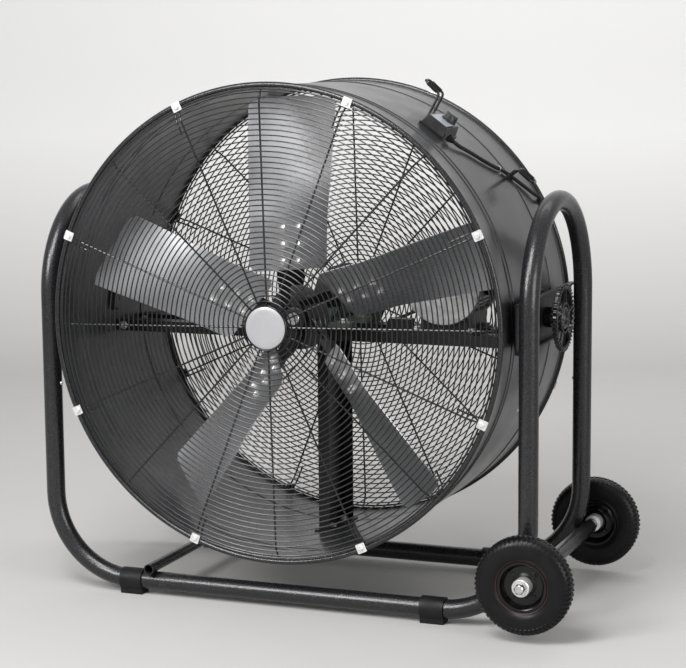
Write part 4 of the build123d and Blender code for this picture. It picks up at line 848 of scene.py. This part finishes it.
def blade_point(angle, radius, across, lift):
    """A point on a blade, across from -1 to 1 along its chord, lift mm before its middle."""
    chord, front, radial = blade_axes(blade_pitch(radius), angle)
    hub_point = vec(CENTRE_X, SPIDER_Y, AXIS_Z)
    fade = min(1.0, max(0.0, (radius - CAMBER_START_R) / CAMBER_GROWTH))
    dish = CAMBER * fade * fade * (3 - 2 * fade) * (across * across - 1)
    along = BLADE_SHIFT + across * BLADE_CHORD / 2
    return hub_point + (radial * radius + chord * along + front * (BLADE_LIFT + lift + dish)) * MM


BLADE_ROWS = 34
BLADE_COLUMNS = 18


def blade(bm, angle):
    """One blade: flat at its root, twisted and hollowed towards its tip, corners rounded."""
    half = BLADE_CHORD / 2
    lean = radians(BLADE_TIP_PITCH)
    front, back = [], []
    for i in range(BLADE_ROWS + 1):
        front.append([])
        back.append([])
        for j in range(BLADE_COLUMNS + 1):
            across = -1 + 2 * j / BLADE_COLUMNS
            swing = (BLADE_SHIFT + across * half) * cos(lean) - BLADE_LIFT * sin(lean)
            tip = sqrt(BLADE_TIP_R ** 2 - swing ** 2)
            radius = BLADE_ROOT_R + i / BLADE_ROWS * (tip - BLADE_ROOT_R)
            near = max(0.0, BLADE_CORNER - min(radius - BLADE_ROOT_R, tip - radius))
            inset = BLADE_CORNER - sqrt(BLADE_CORNER ** 2 - near ** 2)
            place = across * (1 - inset / half)
            for rows, lift in ((front, BLADE_THICKNESS / 2), (back, -BLADE_THICKNESS / 2)):
                rows[i].append(bm.verts.new(blade_point(angle, radius, place, lift)))
    for i in range(BLADE_ROWS):
        for j in range(BLADE_COLUMNS):
            bm.faces.new((front[i][j], front[i][j + 1], front[i + 1][j + 1], front[i + 1][j]))
            bm.faces.new((back[i][j], back[i + 1][j], back[i + 1][j + 1], back[i][j + 1]))
        for j in (0, BLADE_COLUMNS):
            bm.faces.new((front[i][j], front[i + 1][j], back[i + 1][j], back[i][j]))
    for j in range(BLADE_COLUMNS):
        for i in (0, BLADE_ROWS):
            bm.faces.new((front[i][j], front[i][j + 1], back[i][j + 1], back[i][j]))


def blade_angles():
    """The five blades' angles from +X towards +Z."""
    return [BLADE_PHASE + k * 360 / BLADES for k in range(BLADES)]


def rotor():
    """The blades with their bolts and nuts, and the star hub."""
    blades = bmesh.new()
    bolts = bmesh.new()
    centre = vec(CENTRE_X, SPIDER_Y, AXIS_Z)
    blade_front = BLADE_LIFT + BLADE_THICKNESS / 2
    arm_back = ARM_LIFT - SPIDER_THICKNESS / 2
    for angle in blade_angles():
        blade(blades, angle)
        chord, front, radial = blade_axes(BLADE_ROOT_PITCH, angle)
        for radius in BLADE_BOLT_RADII:
            for row in (-BLADE_BOLT_ROWS / 2, BLADE_BOLT_ROWS / 2):
                foot = centre + (radial * radius + chord * row) * MM
                bolt(bolts, foot + front * blade_front * MM, front, BLADE_BOLT_R)
                bolt(bolts, foot + front * arm_back * MM, -front, BLADE_NUT_R)
    publish("fan_blades_twisted", blades, BLADE, "rotor", ["fan_blades"])
    publish("blade_bolts_hex", bolts, ZINC, "rotor", ["blade_bolts"])
    hub_star(centre, arm_back)


STAR_PROFILE = (
    (15.1, -29), (24, -29), (27, -27.5), (28, -8), (33, -3.2), (70, -2.6), (75, -1.4), (76, 0),
    (75, 1.4), (70, 2.6), (33, 3.2), (28, 8), (27, 27.5), (24, 29), (15.1, 29))
ARM_OUTLINE = ((18, -25), (70, -31), (92, -37), (222, -37), (226, -33), (226, 33), (222, 37),
               (92, 37), (70, 31), (18, 25))
ARM_CORNER = 8.0
ARM_RIB = ((34, 0), (118, 0), (112, -5), (60, -11), (34, -13))
ARM_RIB_PLACES = (-16, 16)
ARM_RIB_THICKNESS = 3.0


def hub_star(centre, arm_back):
    """The pressed star: a boss, a disc with lobes between the arms, and the pitched arms."""
    bm = bmesh.new()
    lathe(bm, STAR_PROFILE, vec(CENTRE_X, SPIDER_DISC_Y, AXIS_Z), FAN_AXIS, 60)
    sunk = Matrix.Translation((0, 0, -ARM_RIB_THICKNESS / 2 * MM))
    for angle in blade_angles():
        chord, front, radial = blade_axes(BLADE_ROOT_PITCH, angle)
        back = centre + front * arm_back * MM
        arm = placed(radial, chord, radial.cross(chord), back)
        prism(bm, rounded(ARM_OUTLINE, ARM_CORNER, 3), arm, SPIDER_THICKNESS, 0.6)
        for offset in ARM_RIB_PLACES:
            rib = placed(radial, front, radial.cross(front), back + chord * offset * MM)
            prism(bm, ARM_RIB, rib @ sunk, ARM_RIB_THICKNESS)
    publish("hub_spider_ribbed", bm, BRACKET, "rotor", ["hub_spider"])


# ---- handwheels
# rise, outer radius, width, depth and lobes of the two rings
HANDWHEEL_RINGS = ((0, 77.4, 11.0, 12.0, 36), (1, 37.0, 6.0, 12.0, 24))
HANDWHEEL_SPOKES = 5
SPOKE_OUTLINE = ((20, -5.5), (68, -4), (68, 4), (20, 5.5))
SPOKE_DEPTH = 8.0
SPOKE_RIDGE = ((22, -1), (66, -1), (66, 1), (22, 1))
RIDGE_START = 7.5
RIDGE_DEPTH = 3.0
BOSS_START = 564.3 - HANDWHEEL_X
BOSS_PROFILE = (
    (6.1, BOSS_START), (20, BOSS_START), (22, BOSS_START + 1.5), (22, BOSS_START + 17),
    (19, BOSS_START + 20), (17, -7), (24, -5), (26, -3), (26, 4), (24, 6.2), (21, 6.2),
    (19, 2.5), (8, 1.5), (6, 4), (0, 4.4))
BOSS_RIBS = 20
BOSS_RIB = ((21, -1.5), (23.4, -1.0), (23.4, 1.0), (21, 1.5))
BOSS_RIB_SHIFT = 1.5
BOSS_RIB_LENGTH = 16.0
# radius and number of the raised ribs on the rim's face, and their form
RIM_BEADS = ((75.4, 44), (68.6, 40))
BEAD_OUTLINE = ((-1.9, -1.5), (1.9, -1.7), (1.9, 1.7), (-1.9, 1.5))
BEAD_START = 4.6
BEAD_HEIGHT = 2.3


def round_x(centre, axis, count, rise, start=0.0):
    """Matrices round an X axis, z along it and x outwards, standing rise mm up the axis."""
    turns = [start + 2 * pi * k / count for k in range(count)]
    return [frame_at(centre + axis * rise * MM, axis, (0, cos(a), sin(a))) for a in turns]


def handwheel(place, side):
    """A clamping wheel: a ribbed rim, five spokes, an inner ribbed ring and a ribbed boss."""
    axis = Vector((side, 0, 0))
    centre = vec(CENTRE_X + side * HANDWHEEL_X, 0, PIVOT_Z)
    bm = bmesh.new()
    for rise, *ring in HANDWHEEL_RINGS:
        lobed_ring(bm, centre + axis * rise * MM, axis, *ring)
    for radius, count in RIM_BEADS:
        outline = [(radius + r, y) for r, y in BEAD_OUTLINE]
        for bead in round_x(centre, axis, count, BEAD_START):
            prism(bm, outline, bead, BEAD_HEIGHT, 0.6)
    for arm in round_x(centre, axis, HANDWHEEL_SPOKES, -SPOKE_DEPTH / 2, pi / 2):
        ridge = arm @ Matrix.Translation((0, 0, RIDGE_START * MM))
        prism(bm, rounded(SPOKE_OUTLINE, 1.5, 2), arm, SPOKE_DEPTH, 1.2)
        prism(bm, SPOKE_RIDGE, ridge, RIDGE_DEPTH, 0.5)
    lathe(bm, BOSS_PROFILE, centre, axis, 48, closed=False)
    for rib in round_x(centre, axis, BOSS_RIBS, BOSS_START + BOSS_RIB_SHIFT):
        prism(bm, BOSS_RIB, rib, BOSS_RIB_LENGTH, 0.3)
    publish("handwheel_" + place + "_ribbed", bm, BLACK, "tilt_knob_" + place,
            ["handwheel_" + place])


STEPS_PER_LOBE = 6


def lobed_ring(bm, centre, axis, radius, width, depth, lobes):
    """A ring with scalloped edges and rounded faces."""
    count = lobes * STEPS_PER_LOBE
    bore = radius - width
    shoulder = radius - 0.35 * width
    inner_shoulder = bore + 0.15 * width
    second = axis.cross(FAN_AXIS)
    # radius, height as a share of the depth, depth of the scallops
    edges = [(bore, 0.30, -0.6), (inner_shoulder, 0.5, -0.6), (shoulder, 0.5, 1.0),
             (radius, 0.28, 2.4)]
    section = [(r, -h, dip) for r, h, dip in edges] + edges[::-1]
    loops = []
    for r, h, dip in section:
        loop = []
        for k in range(count):
            turn = 2 * pi * k / count
            wave = 0.5 + 0.5 * cos(2 * pi * (k % STEPS_PER_LOBE) / STEPS_PER_LOBE)
            lower = 1.0 - 0.16 * wave if abs(h) == 0.5 else 1.0
            ray = FAN_AXIS * cos(turn) + second * sin(turn)
            loop.append(centre + (ray * (r - wave * dip) + axis * h * depth * lower) * MM)
        loops.append(ring_of(bm, loop))
    for a, b in zip(loops, loops[1:] + loops[:1]):
        bridge(bm, a, b)


# ---- motor and drive
# motor profiles are (radius, distance behind the motor's front face)
FRONT_COVER = ((0, 0), (30, 0), (34, 1.2), (86, 2.0), (92, 4.0), (94, 8.0), (94, 16),
               (92.5, 20), (0, 20))
REAR_COVER = ((0, 158), (92.5, 158), (94, 162), (94, 170), (92, 174), (60, 177), (40, 177.6),
              (24, 178), (0, 178))
MOTOR_CASE = ((60, 20.1), (86, 20.1), (86, 157.9), (60, 157.9))
FINS = 40
FIN_OUTLINE = ((85, -1.4), (88.9, -0.9), (88.9, 0.9), (85, 1.4))
FIN_START = 22.0
FIN_LENGTH = 134.0


def motor():
    """The motor: a finned case and two light end covers, the front one plain."""
    front = vec(CENTRE_X + MOTOR_X, MOTOR_FRONT, AXIS_Z + MOTOR_Z)
    bm = bmesh.new()
    for cover in (FRONT_COVER, REAR_COVER):
        lathe(bm, cover, front, FAN_AXIS, 96, closed=False)
    publish("motor_covers_cast", bm, COVER, "drum", ["motor_covers"])
    bm = bmesh.new()
    lathe(bm, MOTOR_CASE, front, FAN_AXIS, 72)
    for k in range(FINS):
        turn = 2 * pi * k / FINS
        fin = frame_at(front + FAN_AXIS * FIN_START * MM, FAN_AXIS, (cos(turn), 0, sin(turn)))
        prism(bm, FIN_OUTLINE, fin, FIN_LENGTH, 0.3)
    publish("motor_case_finned", bm, MOTOR, "drum", ["motor_case"])


BEARING_BOLTS = (-60, 60)
MOTOR_BOLTS = (MOTOR_X - 67, MOTOR_X + 67)
BAR_END_BOLTS = (-519.5, 519.5)
STRUT_BOLTS = (48, 128)
STRUT_BOLT_X = 15.5
# heights of the bolts' seats over the fan's axis
BEARING_FOOT_TOP = -27.0
MOTOR_BASE_TOP = -35.9
BAR_MIDDLE = -55.5
STRUT_FOOT_TOP = -536.2


def seats(xs, ys, z, normal, radius):
    """Seats of like bolts, x and z from the fan's axis, with the bolts' normal and radius."""
    return [(vec(CENTRE_X + x, y, AXIS_Z + z), normal, radius) for x in xs for y in ys]


def node_bolts():
    """Washered hex heads where the frame has plain ones."""
    places = {
        "bearing_bolts": seats(BEARING_BOLTS, BAR_MIDDLES, BEARING_FOOT_TOP, UP, 6.0),
        "motor_bolts": seats(MOTOR_BOLTS, BAR_MIDDLES, MOTOR_BASE_TOP, UP, 5.0),
        "support_bolts": seats(BAR_END_BOLTS, BAR_FRONTS, BAR_MIDDLE, -FAN_AXIS, 5.0)
        + seats((STRUT_BOLT_X,), STRUT_BOLTS, STRUT_FOOT_TOP, UP, 5.0),
    }
    for name, bolts in places.items():
        bm = bmesh.new()
        for origin, normal, radius in bolts:
            bolt(bm, origin, normal, radius)
        publish(name + "_hex", bm, ZINC, "drum", [name])


# ---- switch, hooks and lead clip
def on_drum(angle, y, rise=0.0):
    """A matrix on the drum's sheet, z outwards, x clockwise round it seen from the front."""
    turn = radians(angle)
    out = Vector((sin(turn), 0, cos(turn)))
    origin = vec(CENTRE_X, y, AXIS_Z) + out * (SHEET_R + rise) * MM
    return frame_at(origin, out, (cos(turn), 0, -sin(turn)))


# height, share of the knob's radius
KNOB_LEVELS = ((0.0, 1.0), (2.0, 1.0), (3.0, 0.94), (13.5, 0.86), (16.5, 0.80), (17.8, 0.66),
               (18.0, 0.4))
KNOB_RIBBED = (3.0, 16.5)
KNOB_RIB = 1.5


def switch_knob():
    """A ribbed knob with a rounded top."""
    across, along = SWITCH_KNOB_SHIFT
    seat = on_drum(SWITCH_ANGLE, SWITCH_Y, SWITCH_TOP) @ Matrix.Translation(
        (across * MM, along * MM, 0))
    count = KNOB_RIBS * 4
    loops = []
    bm = bmesh.new()
    for height, scale in KNOB_LEVELS:
        ribbed = KNOB_RIBBED[0] <= height <= KNOB_RIBBED[1]
        loop = []
        for k in range(count):
            turn = 2 * pi * k / count
            radius = SWITCH_KNOB_R * scale - (KNOB_RIB if ribbed and k % 4 in (0, 1) else 0.0)
            loop.append(seat @ (Vector((radius * cos(turn), radius * sin(turn), height)) * MM))
        loops.append(ring_of(bm, loop))
    skin(bm, loops)
    publish("switch_knob_ribbed", bm, BLACK, "speed_knob", ["switch_knob"], 50.0)


SLEEVE_BORE = 3.1
SLEEVE_PITCH = 3
SLEEVE_RIB = ((4.0, 0.1), (5.0, 0.7), (5.0, 2.1), (4.0, 2.7))


def hook_sleeves():
    """Ribbed rubber sleeves on both legs of both cord hooks."""
    bm = bmesh.new()
    lift = radians(HOOK_LIFT)
    ribs = [SLEEVE_PITCH * k for k in range(int(SLEEVE_LENGTH / SLEEVE_PITCH))]
    profile = [(SLEEVE_BORE, 0.0)]
    profile += [(radius, start + place) for start in ribs for radius, place in SLEEVE_RIB]
    profile.append((SLEEVE_BORE, SLEEVE_LENGTH))
    for (angle, y), towards in ((UPPER_HOOK, -1), (LOWER_HOOK, 1)):
        base = on_drum(angle, y)
        along = base.to_3x3() @ Vector((towards * cos(lift), 0, sin(lift)))
        for side in (-1, 1):
            top = base @ (Vector((0, side * HOOK_SPACING / 2, HOOK_RISE)) * MM)
            start = top + along * (HOOK_REACH - SLEEVE_LENGTH) / 2 * MM
            lathe(bm, profile, start, along, 20)
    publish("hook_sleeves_ribbed", bm, FOOT, "drum", ["hook_sleeves"])


# the clip's path over the sheet, (along the clip, height), with its arch over the lead
CLIP_LEG = ((15, 0.9), (6.6, 1.2))
CLIP_END = (-5.9, 0.8)
CLIP_ARCH_R = 5.9
CLIP_ARCH_HEIGHT = 6.5
CLIP_WIDTH = 8.0
CLIP_SCREW = (11.0, 1.3)


def lead_clip():
    """The small screwed clip that holds the lead on the drum."""
    base = on_drum(*LEAD_CLIP)

    def over(along, height):
        return base @ (Vector((along, 0, height)) * MM)

    turns = [radians(a) for a in range(0, 181, 20)]
    arch = [(CLIP_ARCH_R * cos(t), CLIP_ARCH_HEIGHT + CLIP_ARCH_R * sin(t)) for t in turns]
    path = [over(*place) for place in (*CLIP_LEG, *arch, CLIP_END)]
    directions = base.to_3x3()
    bm = bmesh.new()
    strip(bm, path, (directions @ FAN_AXIS) * CLIP_WIDTH / 2 * MM, CLIP_SHEET)
    bolt(bm, over(*CLIP_SCREW), directions @ UP, 2.2, washer=False)
    publish("lead_clip", bm, STEEL, "drum")


def soften(name, width, material):
    """A node's own shape with slightly rounded edges and a better material."""
    piece = nodes[name]
    piece.data.materials.clear()
    piece.data.materials.append(material)
    if width:
        round_off = piece.modifiers.new("edges", "BEVEL")
        round_off.width = width * MM
        round_off.segments = 2
        round_off.limit_method = "ANGLE"
        round_off.angle_limit = radians(40)
        round_off.harden_normals = True


# the nodes that are shown as they are, with their edge's rounding in mm and their material
CARRIED = {
    "side_channels": (0.6, BRACKET), "cross_tube": (0.3, ENAMEL), "axle_tube": (0.6, ENAMEL),
    "rail_collars": (1.2, FOOT), "tube_spigots": (0.0, ZINC), "frame_rivets": (0.3, ZINC),
    "axle_rod": (0.0, STEEL), "axle_nuts": (0.4, BLACK_ENAMEL), "tilt_stud_left": (0.0, ZINC),
    "tilt_stud_right": (0.0, ZINC), "crossbars": (0.8, BRACKET), "bar_brackets": (0.4, BRACKET),
    "support_strut": (0.8, BRACKET), "bearing_front": (1.5, BEARING), "bearing_rear": (1.5, BEARING),
    "motor_base": (0.8, BRACKET), "belt_tensioner": (1.2, BRACKET), "terminal_box": (1.5, BLACK),
    "drive_belt": (0.8, BELT), "pivot_plates": (0.8, DRUM), "switch_box": (2.5, BLACK),
    "switch_plate": (0.2, LABEL), "cord_hooks": (0.0, WIRE), "motor_lead": (0.0, LEAD),
    "lead_glands": (0.4, FOOT),
    "fan_shaft": (0.0, STEEL), "driven_pulley": (0.8, PULLEY), "motor_pulley": (0.6, PULLEY),
    "motor_shaft": (0.0, STEEL),
}


# ---- stage, light and camera
def lamp(name, place, target, size, power):
    """A square soft light that faces a point."""
    data = bpy.data.lights.new(name, "AREA")
    data.energy = power
    data.size = size
    made = bpy.data.objects.new(name, data)
    bpy.context.scene.collection.objects.link(made)
    made.location = place
    made.rotation_euler = (Vector(target) - Vector(place)).to_track_quat("-Z", "Y").to_euler()


# the floor's profile, in metres, seen along the photograph's azimuth
FLOOR_FRONT = -6.0
FLOOR_DEPTH = 3.2
FLOOR_HALF_WIDTH = 9.0
COVE_R = 1.2
COVE_TOP = 6.0
# the colour low on the floor and high up the backdrop, and the height where it is palest: a painted
# gradient of shade and light
FLOOR_SHADED = (0.44, 0.433, 0.427, 1.0)
FLOOR_LIT = (0.70, 0.697, 0.694, 1.0)
FLOOR_LIT_AT = 0.9
WORLD_STRENGTH = 0.55
# name, place, target, size, power
LAMPS = (
    ("key_light", (-1.6, -3.6, 2.6), (-0.1, 0, 0.8), 1.4, 125),
    ("top_light", (-0.2, -2.6, 3.6), (0, 0, 0.8), 1.6, 120),
    ("right_panel", (4.2, -2.0, 1.6), (0.6, 0, 0.4), 2.0, 80),
    ("backdrop_light", (0.8, 1.6, 3.6), (-0.2, 4.2, 1.2), 2.4, 60),
)


def floor_paint_with_painted_light():
    """The floor's pale paint with painted light, darker on the floor and paler up the backdrop, and
    see-through from behind.
    """
    floor = Finish("floor_paint_with_painted_light", FLOOR_LIT[:3], 0.75)
    height = floor.node("ShaderNodeSeparateXYZ")
    floor.link(floor.place, height.inputs["Vector"])
    # darker at the floor, paler up the backdrop: painted shade and light
    light_ramp = floor.ramp(height.outputs["Z"], FLOOR_SHADED, FLOOR_LIT, 0.0, FLOOR_LIT_AT)
    floor.link(light_ramp, floor.shader.inputs["Base Color"])
    floor.wear(floor.noise(6.0), 0.05)
    floor.relief(floor.noise(90.0), 0.2, 0.1)
    unseen = floor.node("ShaderNodeBsdfTransparent")
    side = floor.node("ShaderNodeNewGeometry")
    mix = floor.node("ShaderNodeMixShader")
    floor.link(side.outputs["Backfacing"], mix.inputs[0])
    floor.link(floor.shader.outputs["BSDF"], mix.inputs[1])
    floor.link(unseen.outputs["BSDF"], mix.inputs[2])
    floor.link(mix.outputs["Shader"], floor.tree.nodes["Material Output"].inputs["Surface"])
    return floor.material


def studio():
    """A pale floor that runs up into a pale backdrop, soft lights and a soft world."""
    scene = bpy.context.scene
    scene.view_settings.view_transform = "Standard"
    profile = [(FLOOR_FRONT, 0.0), (FLOOR_DEPTH, 0.0)]
    profile += [(FLOOR_DEPTH + COVE_R * sin(t), COVE_R - COVE_R * cos(t))
                for t in [radians(a) for a in range(10, 91, 10)]]
    profile.append((FLOOR_DEPTH + COVE_R, COVE_TOP))
    turn = Matrix.Rotation(radians(VIEW_AZIMUTH), 4, "Z")
    bm = bmesh.new()
    rows = [ring_of(bm, [turn @ Vector((x, y, z)) for x in (-FLOOR_HALF_WIDTH, FLOOR_HALF_WIDTH)])
            for y, z in profile]
    for a, b in zip(rows, rows[1:]):
        bm.faces.new((a[0], a[1], b[1], b[0]))
    mesh = bpy.data.meshes.new("studio_floor")
    bm.to_mesh(mesh)
    bm.free()
    mesh.shade_smooth()
    cove = bpy.data.objects.new("studio_floor", mesh)
    scene.collection.objects.link(cove)
    cove.data.materials.append(floor_paint_with_painted_light())
    world = bpy.data.worlds.new("studio_world")
    world.use_nodes = True
    background = world.node_tree.nodes["Background"]
    background.inputs["Color"].default_value = (1, 1, 1, 1)
    background.inputs["Strength"].default_value = WORLD_STRENGTH
    scene.world = world
    for settings in LAMPS:
        lamp(*settings)


def camera():
    """The photograph's viewpoint, with a slight roll."""
    azimuth = radians(VIEW_AZIMUTH)
    elevation = radians(VIEW_ELEVATION)
    roll = radians(VIEW_ROLL)
    back = Vector((sin(azimuth) * cos(elevation), -cos(azimuth) * cos(elevation), sin(elevation)))
    level = UP.cross(back).normalized()
    rise = back.cross(level)
    right = level * cos(roll) + rise * sin(roll)
    up = rise * cos(roll) - level * sin(roll)
    x, y, z = VIEW_TARGET
    data = bpy.data.cameras.new("photo_camera")
    data.sensor_width = SENSOR
    data.lens = VIEW_FOCAL_PX / PHOTO_WIDTH * SENSOR
    made = bpy.data.objects.new("photo_camera", data)
    bpy.context.scene.collection.objects.link(made)
    eye = vec(CENTRE_X + x, y, z) + back * VIEW_DISTANCE * MM
    made.matrix_world = placed(right, up, back, eye)
    bpy.context.scene.camera = made


camera()
studio()
build_frame()
build_wheels()
drum_shell()
guard("front_guard", DRUM_FRONT, -1)
guard("rear_guard", DRUM_REAR, 1)
clips()
badge()
rotor()
handwheel("left", -1)
handwheel("right", 1)
motor()
switch_knob()
hook_sleeves()
lead_clip()
node_bolts()
for node_name, (edge, finish) in CARRIED.items():
    soften(node_name, edge, finish)
